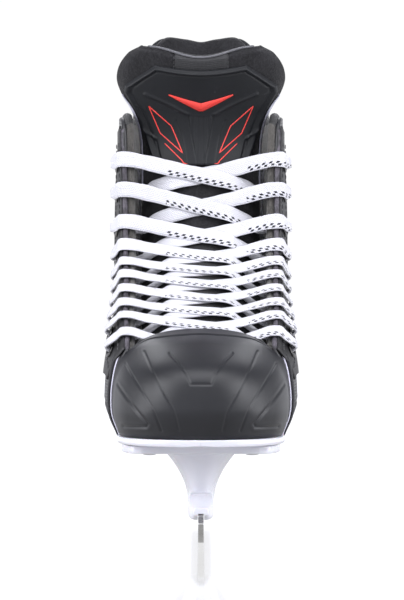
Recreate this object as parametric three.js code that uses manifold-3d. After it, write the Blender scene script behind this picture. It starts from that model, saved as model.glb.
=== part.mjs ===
// Ice hockey skate, right way up on its runner. Millimetres, +Z up, toe towards -Y, +X to the right.
// The origin is the middle of the flat stretch of the runner's edge.

import * as THREE from 'three';
import { mergeVertices } from 'three/addons/utils/BufferGeometryUtils.js';
import Module from 'manifold-3d';

const wasm = await Module();
wasm.setup();

// Boot: overall sizes, and the last that the pattern points below were drawn on.
const BOOT_LENGTH = 290;
const BOOT_WIDTH = 107;
const BOOT_HEIGHT = 220;
const LAST = { length: 290, width: 107, height: 220 };
const SOLE_RISE = 58.5;

// Walls and layers of the upper, counted inwards from the quarter's outer face.
const GAP = 0.3;
const QUARTER_WALL = 2.5;
const LINER_WALL = 4;
const OVERLAY_WALL = 1.2;
const CAP_WALL = 2.8;
const GUARD_WALL = 3;
const GUARD_PAD = 4.5;
const GUARD_SEAT = 0.45;
const PAD_START = 0.1;
const FACING_BAND = 27;
const SEAM_SHARE = 0.0035;

// Sole, insole board and footbed.
const OUTSOLE_WALL = 3.8;
const BOARD_WALL = 2;
const FOOTBED_WALL = 4;
const FEATHER_INSET = 1;
const BOARD_INSET = 10;

// Tongue and its moulded shield.
const TONGUE_PAD = 9;
const TONGUE_EDGE_PAD = 5;
const TONGUE_ARCH = 75 * Math.PI / 180;
const TONGUE_DIP = 4.5;
const SHIELD_WALL = 2.4;
const SHIELD_GAP = 0.9;

// Lacing: eyelets, and the flat lace.
const EYELET_BORE = 2.6;
const EYELET_BARREL = 3.2;
const EYELET_FLANGE = 4.8;
const EYELET_INNER_FLANGE = 4;
const EYELET_RIM = 0.6;
const EYELET_SETBACK = 10.5;
const LACE_WIDTH = 8;
const LACE_THICKNESS = 1.2;
const LACE_NECK_WIDTH = 4;
const LACE_NECK_THICKNESS = 1.8;
const AGLET_LENGTH = 24;
const AGLET_RADIUS = 1.9;

// Holder and runner.
const FLANGE_WALL = 4.6;
const FLANGE_INSET = 2.5;
const RAIL_HALF_WIDTH = 6.2;
const RAIL_BOTTOM = 15;
const RAIL_TOP = 29;
const RUNNER_LENGTH = 280;
const RUNNER_THICKNESS = 3;
const RUNNER_FLAT = 40;
const RUNNER_ROCKER = 2700;
const SLOT_DEPTH = 9;
const BOLT_RADIUS = 2.6;
const NUT_RADIUS = 5;
const NUT_HEIGHT = 4.2;
const NUT_FLOOR = 39;
const RIVET_SHANK = 2.1;
const RIVET_HEAD = 4;
const RIVET_HEAD_HEIGHT = 1;
const RIVET_WELL = 14;

// Colours and finishes.
const material = (color, roughness, metalness = 0) =>
  new THREE.MeshStandardMaterial({ color, roughness, metalness });
const capPlastic = material(0x1d1d20, 0.35);
const shellComposite = material(0x17171a, 0.5);
const overlayLeather = material(0x1a171c, 0.55);
const whitePlastic = material(0xf2f1f6, 0.3);
const boardFibre = material(0x3a3532, 0.9);
const footbedFoam = material(0x2a2b30, 0.9);
const feltDark = material(0x2a2422, 1);
const linerFelt = material(0x55504b, 1);
const laceWhite = material(0xf1f0f2, 0.9);
const steel = material(0x8d8984, 0.3, 1);
const zincSteel = material(0xa9a9ad, 0.4, 1);
const eyeletMetal = material(0x2b2b2e, 0.4, 0.9);

const group = new THREE.Group();

function add(name, geometry, look) {
  const mesh = new THREE.Mesh(geometry, look);
  mesh.name = name;
  group.add(mesh);
  return mesh;
}

// Solids ------------------------------------------------------------------------------------------

function solidOf(geometry) {
  const bare = geometry.clone();
  bare.deleteAttribute('normal');
  bare.deleteAttribute('uv');
  const merged = mergeVertices(bare, 1e-4);
  return new wasm.Manifold(new wasm.Mesh({
    numProp: 3,
    vertProperties: new Float32Array(merged.attributes.position.array),
    triVerts: new Uint32Array(merged.index.array),
  }));
}

function geometryOf(solid) {
  const mesh = solid.getMesh();
  const geometry = new THREE.BufferGeometry();
  geometry.setAttribute('position', new THREE.BufferAttribute(mesh.vertProperties, 3));
  geometry.setIndex(new THREE.BufferAttribute(mesh.triVerts, 1));
  return geometry;
}

// A closed solid from points and triangles, with its faces turned outwards.
function closed(points, triangles) {
  let volume = 0;
  for (const [a, b, c] of triangles) {
    volume += points[a].dot(new THREE.Vector3().crossVectors(points[b], points[c]));
  }
  const order = volume < 0 ? triangles.map(([a, b, c]) => [a, c, b]) : triangles;
  const geometry = new THREE.BufferGeometry();
  const numbers = points.flatMap((p) => [p.x, p.y, p.z]);
  geometry.setAttribute('position', new THREE.Float32BufferAttribute(numbers, 3));
  geometry.setIndex(order.flat());
  return solidOf(geometry);
}

// Skins a row of rings, each a closed convex loop with the same number of points.
function loft(rings) {
  const size = rings[0].length;
  const triangles = [];
  for (let r = 0; r + 1 < rings.length; r += 1) {
    for (let i = 0; i < size; i += 1) {
      const a = r * size + i;
      const b = r * size + (i + 1) % size;
      triangles.push([a, b, b + size], [a, b + size, a + size]);
    }
  }
  const last = (rings.length - 1) * size;
  for (let i = 1; i + 1 < size; i += 1) {
    triangles.push([0, i + 1, i], [last, last + i, last + i + 1]);
  }
  return closed(rings.flat(), triangles);
}

// A cylinder from one point to another.
function rod(from, to, radius, sides = 12) {
  const axis = new THREE.Vector3().subVectors(to, from);
  const geometry = new THREE.CylinderGeometry(radius, radius, axis.length(), sides);
  const upright = new THREE.Vector3(0, 1, 0);
  geometry.applyQuaternion(new THREE.Quaternion().setFromUnitVectors(upright, axis.clone().normalize()));
  geometry.translate(...new THREE.Vector3().addVectors(from, to).multiplyScalar(0.5).toArray());
  return solidOf(geometry);
}

// A lathed solid about an axis: profile points are [radius, distance along the axis].
function turned(profile, origin, axis, sides) {
  const geometry = new THREE.LatheGeometry(profile.map(([r, h]) => new THREE.Vector2(r, h)), sides);
  geometry.applyQuaternion(new THREE.Quaternion().setFromUnitVectors(new THREE.Vector3(0, 1, 0), axis));
  geometry.translate(origin.x, origin.y, origin.z);
  return outward(solidOf(geometry));
}

function outward(solid) {
  if (solid.volume() > 0) return solid;
  const mesh = solid.getMesh();
  const flipped = mesh.triVerts.slice();
  for (let i = 0; i < flipped.length; i += 3) {
    [flipped[i + 1], flipped[i + 2]] = [flipped[i + 2], flipped[i + 1]];
  }
  return new wasm.Manifold(new wasm.Mesh({ numProp: 3, vertProperties: mesh.vertProperties, triVerts: flipped }));
}

// An outline in the side view, [y, z] points, extruded across from one x to another.
function sidePrism(outline, fromX, toX) {
  const shape = new THREE.Shape(outline.map(([y, z]) => new THREE.Vector2(y, z)));
  const geometry = new THREE.ExtrudeGeometry(shape, { depth: toX - fromX, bevelEnabled: false });
  const turn = new THREE.Matrix4().makeBasis(
    new THREE.Vector3(0, 1, 0), new THREE.Vector3(0, 0, 1), new THREE.Vector3(1, 0, 0));
  geometry.applyMatrix4(turn);
  geometry.translate(fromX, 0, 0);
  return solidOf(geometry);
}

// The last: maps pattern points to the wanted boot size --------------------------------------------

function place(x, y, z) {
  return new THREE.Vector3(
    x * BOOT_WIDTH / LAST.width,
    y * BOOT_LENGTH / LAST.length,
    SOLE_RISE + (z - 58.5) * BOOT_HEIGHT / LAST.height);
}

const smooth = (t) => t * t * (3 - 2 * t);
const mix = (a, b, t) => a + (b - a) * t;

// Height of the outsole's top face in the pattern: a little toe spring, and a raised heel.
function patternSole(y) {
  if (y < -60) return 58.5 + 1.8 * ((-60 - y) / 90) ** 1.5;
  return 58.5 + 10 * smooth(Math.min(1, (y + 60) / 200));
}

function soleTop(y) {
  const pattern = y * LAST.length / BOOT_LENGTH;
  return place(0, pattern, patternSole(pattern)).z;
}

// Half width of the sole in the pattern, drawn in by an inset all round.
function patternHalf(y, inset) {
  const toe = { y: -95, w: 46, reach: 54 };
  const heel = { y: 100, w: 32.5, reach: 37.5 };
  const round = (t) => (1 - Math.min(1, t) ** 2.3) ** (1 / 2.3);
  if (y < toe.y) return (toe.w - inset) * round((toe.y - y) / (toe.reach - inset));
  if (y > heel.y) return (heel.w - inset) * round((y - heel.y) / (heel.reach - inset));
  if (y < -60) return toe.w - inset;
  if (y < 25) return mix(toe.w, 33, smooth((y + 60) / 85)) - inset;
  return mix(33, heel.w, (y - 25) / 75) - inset;
}

// A flat layer of the sole: from y to y, its faces a distance above the outsole's top face.
function soleLayer(fromY, toY, inset, low, high, steps, roundEnds) {
  const patternInset = inset * LAST.width / BOOT_WIDTH;
  const rings = [];
  for (let i = 0; i <= steps; i += 1) {
    const t = i / steps;
    const along = roundEnds ? (1 - Math.cos(Math.PI * t)) / 2 : t;
    const y = mix(fromY, toY, along);
    const half = Math.max(0.6, patternHalf(y, patternInset));
    const at = (x, offset) => place(x, y, patternSole(y)).add(new THREE.Vector3(0, 0, offset));
    rings.push([at(-half, low), at(half, low), at(half, high), at(-half, high)]);
  }
  return loft(rings);
}

// Surfaces drawn as a net of ribs ------------------------------------------------------------------

class Net {
  constructor(ribs) {
    this.curves = ribs.map((rib) => new THREE.CatmullRomCurve3(rib, false, 'catmullrom', 0.5));
  }

  at(u, v) {
    const across = this.curves.map((curve) => curve.getPoint(Math.min(1, Math.max(0, v))));
    return new THREE.CatmullRomCurve3(across, false, 'catmullrom', 0.5).getPoint(Math.min(1, Math.max(0, u)));
  }
}

// The unit normal of any surface with an at(u, v), taken by small steps.
function normalAt(surface, u, v, sign) {
  const step = 1e-3;
  const du = surface.at(Math.min(1, u + step), v).sub(surface.at(Math.max(0, u - step), v));
  const dv = surface.at(u, Math.min(1, v + step)).sub(surface.at(u, Math.max(0, v - step)));
  return du.cross(dv).normalize().multiplyScalar(sign);
}

// Values of u from one end to the other, through the stations that all layers of a surface share.
function stations(from, to, count) {
  const inside = Array.from({ length: count + 1 }, (_, i) => i / count);
  return [from, ...inside.filter((u) => u > from + 1e-6 && u < to - 1e-6), to];
}

// A shell between two offsets of a patch; the offsets and the v limits may depend on u and v.
function shell(surface, sign, us, spanV, nv, near, far) {
  const limit = (span, u) => (typeof span === 'function' ? span(u) : span);
  const depth = (offset, u, v) => (typeof offset === 'function' ? offset(u, v) : offset);
  const outer = [];
  const inner = [];
  const nu = us.length - 1;
  for (const u of us) {
    const [low, high] = limit(spanV, u);
    for (let j = 0; j <= nv; j += 1) {
      const v = mix(low, high, j / nv);
      const point = surface.at(u, v);
      const normal = normalAt(surface, u, v, sign);
      outer.push(point.clone().addScaledVector(normal, depth(near, u, v)));
      inner.push(point.clone().addScaledVector(normal, depth(far, u, v)));
    }
  }
  const row = nv + 1;
  const shift = outer.length;
  const triangles = [];
  for (let i = 0; i < nu; i += 1) {
    for (let j = 0; j < nv; j += 1) {
      const a = i * row + j;
      triangles.push([a, a + 1, a + row + 1], [a, a + row + 1, a + row]);
      triangles.push([shift + a, shift + a + row + 1, shift + a + 1]);
      triangles.push([shift + a, shift + a + row, shift + a + row + 1]);
    }
  }
  const wall = (a, b) => triangles.push([a, b, shift + b], [a, shift + b, shift + a]);
  for (let i = 0; i < nu; i += 1) {
    wall(i * row, (i + 1) * row);
    wall((i + 1) * row + nv, i * row + nv);
  }
  for (let j = 0; j < nv; j += 1) {
    wall(j + 1, j);
    wall(nu * row + j, nu * row + j + 1);
  }
  return closed([...outer, ...inner], triangles);
}

// Ribs of the upper ---------------------------------------------------------------------------------

// A rib from its foot on the feather line; it starts a little below the line so that it can be trimmed flat.
function rib(footX, footY, upper) {
  const foot = new THREE.Vector3(footX, footY, patternSole(footY));
  const next = new THREE.Vector3(...upper[0]);
  const below = foot.clone().addScaledVector(new THREE.Vector3().subVectors(next, foot), -0.45);
  return [below, foot, ...upper.map((p) => new THREE.Vector3(...p))].map((p) => place(p.x, p.y, p.z));
}

const mirrored = (ribs) => ribs.map((points) => points.map((p) => new THREE.Vector3(-p.x, p.y, p.z)));
const footAt = (y) => patternHalf(y, FEATHER_INSET);

const quarterRibs = [
  rib(footAt(-83.6), -83.6, [[48.7, -85.6, 70], [49, -86.4, 83], [46.5, -87, 95], [41.5, -86.5, 105]]),
  rib(footAt(-60), -60, [[52.5, -61, 71], [53.2, -60, 88], [49.5, -59, 108], [42.5, -58, 121.1]]),
  rib(footAt(-28), -28, [[47.5, -28, 74], [50.5, -27, 94], [48.5, -26.5, 116], [43, -26, 134.6]]),
  rib(footAt(5), 5, [[42.5, 5, 78], [48, 5, 101], [48, 4.5, 126], [43.5, 4, 148.6]]),
  rib(footAt(35), 35, [[40.5, 34, 81], [47, 32, 108], [48, 27, 138], [44, 21.5, 164]]),
  rib(footAt(60), 60, [[40, 60, 85], [46.5, 56, 116], [48.5, 44, 156], [44.5, 30, 189.7]]),
  rib(footAt(82), 82, [[39.5, 84, 87], [45, 80, 122], [48.5, 62, 176], [45.5, 40, 226.5]]),
  rib(footAt(98), 98, [[37.5, 102, 89], [41.5, 99, 124], [47.5, 82, 180], [47.5, 62, 230]]),
  rib(footAt(114), 114, [[31, 121, 91], [33, 116, 126], [42.5, 101, 180], [45, 90, 226]]),
  rib(footAt(126), 126, [[21, 135, 92], [21, 128, 128], [32, 118, 184], [36, 114, 230]]),
  rib(footAt(133.5), 133.5, [[10, 142.5, 92], [9.5, 135, 129], [15, 127, 185], [18.5, 129.5, 238]]),
];
const heelRib = rib(0, 136.5, [[0, 145, 92], [0, 137.5, 129], [0, 131, 185], [0, 134.5, 241]]);
const upper = new Net([...quarterRibs, heelRib, ...mirrored(quarterRibs).reverse()]);

const capRibs = [
  rib(footAt(-84), -84, [[48.5, -86, 70], [48.6, -87, 84], [45, -88, 99], [34, -88, 110]]),
  rib(44.5, -104, [[47, -106, 75], [44.5, -104, 92], [35, -98, 106.5], [25, -88, 113.6]]),
  rib(38, -124, [[40, -127, 76], [36.5, -121, 95], [26, -107, 108.5], [17, -87, 115.4]]),
  rib(23, -141.5, [[24.5, -145, 77], [22, -137, 97], [15, -113, 109.5], [8.5, -85.5, 116.3]]),
];
const capMiddle = rib(0, -147.5, [[0, -151, 78], [0, -142.5, 98], [0, -114, 110.5], [0, -84, 116.5]]);
const capNet = new Net([...capRibs, capMiddle, ...mirrored(capRibs).reverse()]);

// Everything of the upper stops just above the outsole's top face.
function aboveSole(solid) {
  const outline = [[-200, -50], [200, -50]];
  for (let i = 40; i >= 0; i -= 1) {
    const y = -200 + i * 10;
    outline.push([y, soleTop(y) + GAP]);
  }
  return solid.subtract(sidePrism(outline, -120, 120));
}

// The facing line: the front edge of the quarters in the side view, one [y, z] point for each lace row.
const facingRows = [
  [-74, 113], [-58, 121.1], [-42, 127.5], [-26, 134.6], [-10.5, 141.8],
  [4, 148.6], [17, 157.8], [25, 171.3], [30, 189.7], [34, 206.9],
];
const facingEnds = { front: [-86.5, 105], top: [40, 226.5] };
const facingStops = [facingEnds.front, ...facingRows, facingEnds.top].map(([y, z]) => place(0, y, z));
const facingLine = new THREE.CatmullRomCurve3(facingStops, false, 'catmullrom', 0.5);

// Place along the facing line, in rows: its point, its direction up the line, and the way out in front of it.
function facingAt(row) {
  const t = (row + 1) / (facingRows.length + 1);
  const point = facingLine.getPoint(t);
  const up = facingLine.getTangent(t);
  return { point, up, out: new THREE.Vector3(0, -up.z, up.y) };
}

// Finds the u, v of the right half of the upper whose side-view place is y, z.
function locate(y, z) {
  let best = { distance: Infinity };
  for (let i = 0; i <= 44; i += 1) {
    for (let j = 0; j <= 24; j += 1) {
      const point = upper.at(i / 90, j / 24);
      const distance = Math.hypot(point.y - y, point.z - z);
      if (distance < best.distance) best = { u: i / 90, v: j / 24, distance };
    }
  }
  let { u, v } = best;
  for (let pass = 0; pass < 6; pass += 1) {
    const here = upper.at(u, v);
    const alongU = upper.at(u + 1e-3, v).sub(here).multiplyScalar(1e3);
    const alongV = upper.at(u, Math.min(1, v + 1e-3)).sub(here).multiplyScalar(1e3);
    const det = alongU.y * alongV.z - alongV.y * alongU.z;
    if (Math.abs(det) < 1e-6) break;
    const dy = y - here.y;
    const dz = z - here.z;
    u += (dy * alongV.z - alongV.y * dz) / det;
    v += (alongU.y * dz - dy * alongU.z) / det;
    u = Math.min(0.499, Math.max(0, u));
    v = Math.min(0.998, Math.max(0, v));
  }
  return { u, v };
}

const UPPER_STATIONS = 42;
const UPPER_ROWS = 6;
const UPPER_SIGN = Math.sign(normalAt(upper, 0.25, 0.5, 1).x);
const CAP_SIGN = Math.sign(normalAt(capNet, 0.1, 0.5, 1).x);

// A point a distance off the outer face, at a place behind the facing line (side is 1 right, -1 left).
function onQuarter(row, back, off, side) {
  const { point, out } = facingAt(row);
  const target = point.clone().addScaledVector(out, -back);
  const { u, v } = locate(target.y, target.z);
  const normal = normalAt(upper, u, v, UPPER_SIGN);
  const spot = upper.at(u, v).addScaledVector(normal, off);
  spot.x *= side;
  normal.x *= side;
  return { spot, normal };
}

const rows = facingRows.map((_, row) => row);
const sides = { right: 1, left: -1 };
const eyeletSeats = {};
for (const [name, side] of Object.entries(sides)) {
  eyeletSeats[name] = rows.map((row) => onQuarter(row, EYELET_SETBACK, 0, side));
}

const LINER_FACE = -(QUARTER_WALL + GAP + LINER_WALL);
const OVERLAY_FACE = GAP + OVERLAY_WALL;
const RIM_FACE = OVERLAY_FACE + GAP + EYELET_RIM;

// Lace -----------------------------------------------------------------------------------------------

// Levels are distances in front of the facing line, at each distance from the middle of the boot.
const OVER = LACE_THICKNESS / 2 + GAP;
const laceLevels = {
  upperOver: [[16.5, 0.4], [22, 0.5], [30, 0.8]],
  upperUnder: [[16, 0.4], [21.5, -2.9], [27, -6.8]],
  lowerOver: [[16.5, -1.1], [22, -0.9], [30, 0.4]],
  lowerUnder: [[16, -1.1], [21.5, -3.4], [27, -7]],
};
const laceMiddle = { upper: 0.4, lower: -1.1 };

// Each lace point: its place, the row direction that the lace's width follows, and its two sizes.
function lacePoint(row, x, level, neck = 0) {
  const { point, up, out } = facingAt(row);
  const spot = point.clone().addScaledVector(out, level);
  spot.x = x * BOOT_WIDTH / LAST.width;
  return { place: spot, across: up, neck };
}

// From inside the eyelet, out through it and round over the edge of the facing.
function roundEdge(row, side) {
  const { up } = facingAt(row);
  const points = [];
  const offFace = RIM_FACE + OVER;
  const stops = [
    [EYELET_SETBACK, LINER_FACE - 1.2, 1], [EYELET_SETBACK, LINER_FACE / 2, 1], [EYELET_SETBACK, RIM_FACE, 1],
    [EYELET_SETBACK - 1.2, offFace + 1.8, 0.8], [EYELET_SETBACK - 5, offFace + 1, 0.1],
    [2.4, OVERLAY_FACE + OVER + 1.2, 0],
  ];
  for (const [back, off, neck] of stops) {
    points.push({ place: onQuarter(row, back, off, side).spot, across: up, neck });
  }
  const edge = onQuarter(row, 0.6, 0, side).spot.x * side * LAST.width / BOOT_WIDTH;
  points.push(lacePoint(row, side * (edge + OVERLAY_FACE + OVER), OVER + 0.9));
  points.push(lacePoint(row, side * (edge - 3.5), OVER + 1.2));
  return points;
}

// A strand from under the facing at one row to over the opposite edge one row higher.
function strand(row, fromSide) {
  const kind = fromSide > 0 ? 'upper' : 'lower';
  const under = laceLevels[`${kind}Under`];
  const over = laceLevels[`${kind}Over`];
  const rowAt = (x) => row + (38 - fromSide * x) / 76;
  const points = [lacePoint(row, fromSide * 32.3, -9.6, 0.5)];
  for (const [x, level] of [...under].reverse()) {
    points.push(lacePoint(rowAt(fromSide * x), fromSide * x, level));
  }
  points.push(lacePoint(rowAt(0), 0, laceMiddle[kind]));
  for (const [x, level] of over) {
    points.push(lacePoint(rowAt(-fromSide * x), -fromSide * x, level));
  }
  return points;
}

// The bar across the lowest row, a little nearer the toe than its eyelets.
function bar() {
  const stops = [[-31, 0.5, -0.12], [-22, -0.9, -0.26], [-10, -1.1, -0.28], [0, -1.1, -0.28]];
  const left = stops.map(([x, level, shift]) => lacePoint(shift, x, level));
  const right = stops.slice(0, 3).reverse().map(([x, level, shift]) => lacePoint(shift, -x, level));
  return [...left, ...right];
}

// The loose end inside the boot, hanging down behind the top eyelet.
function tail(side) {
  const top = rows.length - 1;
  const start = onQuarter(top, EYELET_SETBACK, LINER_FACE - 1.2, side).spot;
  const across = facingAt(top).up;
  const turn = start.clone().add(new THREE.Vector3(-side * 2.2, 5, -1));
  const hang = start.clone().add(new THREE.Vector3(-side * 3, 14, -10));
  const end = start.clone().add(new THREE.Vector3(-side * 3.4, 20, -30));
  return [
    { place: turn, across, neck: 0.6 },
    { place: hang, across: new THREE.Vector3(0, 0.6, 0.8), neck: 0.6 },
    { place: end, across: new THREE.Vector3(0, 1, 0.1), neck: 1 },
  ];
}

function lacePath() {
  const half = (side) => {
    let here = side;
    const points = [];
    for (const row of rows) {
      points.push(...roundEdge(row, here).reverse());
      if (row === rows.length - 1) break;
      points.push(...strand(row, here));
      here = -here;
    }
    return { points, end: here };
  };
  const left = half(-1);
  const right = half(1);
  return [
    ...tail(left.end).reverse(), ...left.points.reverse(), ...bar(), ...right.points, ...tail(right.end),
  ];
}

const lacePoints = lacePath();
const laceCurve = new THREE.CatmullRomCurve3(lacePoints.map((p) => p.place), false, 'centripetal');

// Sweeps the lace's flat section along its route, grown by a margin.
function laceSolid(margin, stepsPerStop) {
  const rings = [];
  const steps = (lacePoints.length - 1) * stepsPerStop;
  for (let i = 0; i <= steps; i += 1) {
    const t = i / steps;
    const stop = Math.min(lacePoints.length - 2, Math.floor(i / stepsPerStop));
    const share = i / stepsPerStop - stop;
    const across = lacePoints[stop].across.clone().lerp(lacePoints[stop + 1].across, share);
    const neck = mix(lacePoints[stop].neck, lacePoints[stop + 1].neck, share);
    const here = laceCurve.getPoint(t);
    const along = laceCurve.getTangent(t);
    across.addScaledVector(along, -across.dot(along)).normalize();
    const out = new THREE.Vector3().crossVectors(along, across);
    const halfWidth = mix(LACE_WIDTH, LACE_NECK_WIDTH, neck) / 2 + margin;
    const halfThick = mix(LACE_THICKNESS, LACE_NECK_THICKNESS, neck) / 2 + margin;
    rings.push([[-1, -1], [1, -1], [1, 1], [-1, 1]].map(([w, h]) =>
      here.clone().addScaledVector(across, w * halfWidth).addScaledVector(out, h * halfThick)));
  }
  return loft(rings);
}

const laceRoom = laceSolid(GAP, 1);

// Tongue ---------------------------------------------------------------------------------------------

// Stations up the tongue's front: centre y and z, half width, and how far the sides fall back.
const tongueStations = [
  [-106, 102.5, 27, 7], [-73, 111, 31, 10.5], [-41, 125.6, 33, 12.5], [-9.5, 140, 33.8, 14],
  [18.4, 156.5, 34, 15.5], [27, 170.8, 34, 17], [32, 189.3, 34, 19], [36, 206.5, 34, 20],
  [37.5, 219, 34.6, 18.5], [36, 230.5, 38.5, 15.5],
  [33, 239, 45.5, 14], [29, 247, 48.5, 14], [24.5, 257, 46.5, 13], [21.5, 264, 41.5, 11.5], [20, 268, 35, 9],
];

class Tongue {
  constructor() {
    const curve = (pick) => new THREE.CatmullRomCurve3(tongueStations.map(pick), false, 'catmullrom', 0.5);
    this.line = curve(([y, z]) => place(0, y, z));
    this.shape = curve(([, , half, fall]) => new THREE.Vector3(half * BOOT_WIDTH / LAST.width, fall, 0));
  }

  at(u, v) {
    const turn = (2 * v - 1) * TONGUE_ARCH;
    const centre = this.line.getPoint(u);
    const up = this.line.getTangent(u);
    const shape = this.shape.getPoint(u);
    const back = new THREE.Vector3(0, up.z, -up.y);
    const fall = shape.y * (1 - Math.cos(turn)) / (1 - Math.cos(TONGUE_ARCH));
    const point = centre.addScaledVector(back, fall);
    point.x = shape.x * Math.sin(turn) / Math.sin(TONGUE_ARCH);
    const crest = (1 - Math.cos(Math.PI * Math.min(1, Math.abs(2 * v - 1) / 0.6))) / 2;
    point.z += TONGUE_DIP * crest * Math.max(0, (u - 0.8) / 0.2);
    return point;
  }
}

const tongue = new Tongue();
const TONGUE_SIGN = -Math.sign(normalAt(tongue, 0.5, 0.5, 1).y);
const TONGUE_SPLIT = { lower: 0.5345, upper: 0.5385 };

function tonguePad(u, v) {
  const edge = Math.abs(2 * v - 1);
  const end = Math.min(1, (1 - u) / 0.06, (u + 0.02) / 0.06);
  return -mix(TONGUE_PAD, TONGUE_EDGE_PAD, edge ** 2) * mix(0.55, 1, end);
}

// The shield's half width up the tongue: it widens to its shoulders and narrows to its top corners.
const shieldHalves = [
  [0.5385, 28.5], [0.6, 32], [0.66, 36], [0.715, 40], [0.755, 43],
  [0.785, 42.5], [0.82, 37], [0.86, 30.5], [0.895, 25.5],
];
const SHIELD_EDGE = 0.965;

// The tongue's v at the shield's two edges.
function shieldSpan(u) {
  const next = Math.max(1, shieldHalves.findIndex(([station]) => station >= u - 1e-9));
  const [fromU, fromHalf] = shieldHalves[next - 1];
  const [toU, toHalf] = shieldHalves[next];
  const wide = mix(fromHalf, toHalf, (u - fromU) / (toU - fromU)) * BOOT_WIDTH / LAST.width;
  const half = tongue.shape.getPoint(u).x;
  const share = Math.asin(Math.min(SHIELD_EDGE, wide / half) * Math.sin(TONGUE_ARCH)) / TONGUE_ARCH;
  return [0.5 - share / 2, 0.5 + share / 2];
}

// Parts ----------------------------------------------------------------------------------------------

function drillEyelets(solid, name, radius) {
  let drilled = solid;
  for (const { spot, normal } of eyeletSeats[name]) {
    const from = spot.clone().addScaledVector(normal, LINER_FACE - 6);
    const to = spot.clone().addScaledVector(normal, OVERLAY_FACE + 3);
    drilled = drilled.subtract(rod(from, to, radius, 8));
  }
  return drilled;
}

function facingOutline(row0, row1, reach) {
  const front = [];
  const back = [];
  for (let i = 0; i <= 12; i += 1) {
    const { point, out } = facingAt(mix(row0, row1, i / 12));
    front.push([point.y - out.y * -6, point.z - out.z * -6]);
    back.push([point.y - out.y * reach, point.z - out.z * reach]);
  }
  return [...front, ...back.reverse()];
}

function buildUpper() {
  const spans = { right: [0, 0.5 - SEAM_SHARE], left: [0.5 + SEAM_SHARE, 1] };
  const frontSpans = { right: [0, 0.33], left: [0.67, 1] };
  for (const [name, side] of Object.entries(sides)) {
    const us = stations(...spans[name], UPPER_STATIONS);
    const frontUs = stations(...frontSpans[name], UPPER_STATIONS);
    const quarter = shell(upper, UPPER_SIGN, us, [0, 1], UPPER_ROWS, 0, -QUARTER_WALL);
    const liner = shell(upper, UPPER_SIGN, us, [0, 1], UPPER_ROWS, -QUARTER_WALL - GAP, LINER_FACE);
    const skin = shell(upper, UPPER_SIGN, frontUs, [0, 1], UPPER_ROWS, GAP, OVERLAY_FACE);
    const band = sidePrism(facingOutline(-1, rows.length, FACING_BAND), side > 0 ? 5 : -80, side > 0 ? 80 : -5);
    const padding = aboveSole(liner).subtract(laceRoom);
    const barrelHole = EYELET_BARREL + GAP;
    add(`quarter_${name}`, geometryOf(drillEyelets(aboveSole(quarter), name, barrelHole)), shellComposite);
    add(`liner_${name}`, geometryOf(drillEyelets(padding, name, EYELET_INNER_FLANGE + GAP)), linerFelt);
    add(`facing_${name}`, geometryOf(drillEyelets(skin.intersect(band), name, barrelHole)), overlayLeather);
  }
}

function buildEyelets() {
  for (const name of Object.keys(sides)) {
    eyeletSeats[name].forEach(({ spot, normal }, row) => {
      const outerFace = OVERLAY_FACE + GAP;
      const innerFace = LINER_FACE + EYELET_RIM;
      const profile = [
        [EYELET_BORE, innerFace - EYELET_RIM], [EYELET_INNER_FLANGE, innerFace - EYELET_RIM],
        [EYELET_INNER_FLANGE, innerFace], [EYELET_BARREL, innerFace], [EYELET_BARREL, outerFace],
        [EYELET_FLANGE, outerFace], [EYELET_FLANGE - 0.5, outerFace + EYELET_RIM],
        [EYELET_BORE, outerFace + EYELET_RIM], [EYELET_BORE, innerFace - EYELET_RIM],
      ];
      add(`eyelet_${name}_${row + 1}`, geometryOf(turned(profile, spot, normal, 8)), eyeletMetal);
    });
  }
}

function buildCap() {
  const cap = shell(capNet, CAP_SIGN, stations(0, 1, 24), [0, 1], 8, 0, -CAP_WALL);
  add('toe_cap', geometryOf(aboveSole(cap)), capPlastic);
}

// The outer counter wraps the heel low down and dips under the ankle.
function buildHeelCounter() {
  const us = stations(0.3, 0.7, UPPER_STATIONS);
  const skin = shell(upper, UPPER_SIGN, us, [0, 1], UPPER_ROWS, GAP, OVERLAY_FACE);
  const outline = [[48, 50], [160, 50], [160, 140], [128, 134], [100, 120], [76, 96], [58, 80]];
  const cutter = sidePrism(outline.map(([y, z]) => [place(0, y, z).y, place(0, y, z).z]), -80, 80);
  add('heel_counter', geometryOf(aboveSole(skin.intersect(cutter))), overlayLeather);
}

// The tendon guard stands on the collar behind the ankle; its top has two soft peaks.
// Each rib starts on the collar's edge, at its share of the way round the upper.
const guardRibs = [
  [0.392, [38.5, 106, 244], [36.5, 109, 257]],
  [0.415, [33, 119, 252], [31.5, 119.5, 270]],
  [0.4475, [22, 129.5, 258], [22.5, 131, 279]],
  [0.475, [10.8, 135, 260], [11, 139, 278]],
  [0.5, [0, 137, 260], [0, 141.5, 276]],
].map(([share, ...points]) => [upper.at(share, 1), ...points.map(([x, y, z]) => place(x, y, z))]);
const guardNet = new Net([...guardRibs, ...mirrored(guardRibs.slice(0, -1)).reverse()]);

function buildGuard() {
  const sign = Math.sign(normalAt(guardNet, 0.02, 0.5, 1).x);
  const padFace = -GUARD_WALL - GAP;
  const plate = shell(guardNet, sign, stations(0, 1, 16), [0, 1], 3, 0, -GUARD_WALL);
  const pad = shell(guardNet, sign, stations(0, 1, 16), [PAD_START, 1], 3, padFace, padFace - GUARD_PAD);
  const clearance = new THREE.Vector3(0, 0, GUARD_SEAT);
  add('tendon_guard', geometryOf(plate.translate(clearance.toArray())), shellComposite);
  add('tendon_guard_pad', geometryOf(pad.translate(clearance.toArray())), feltDark);
}

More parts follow.
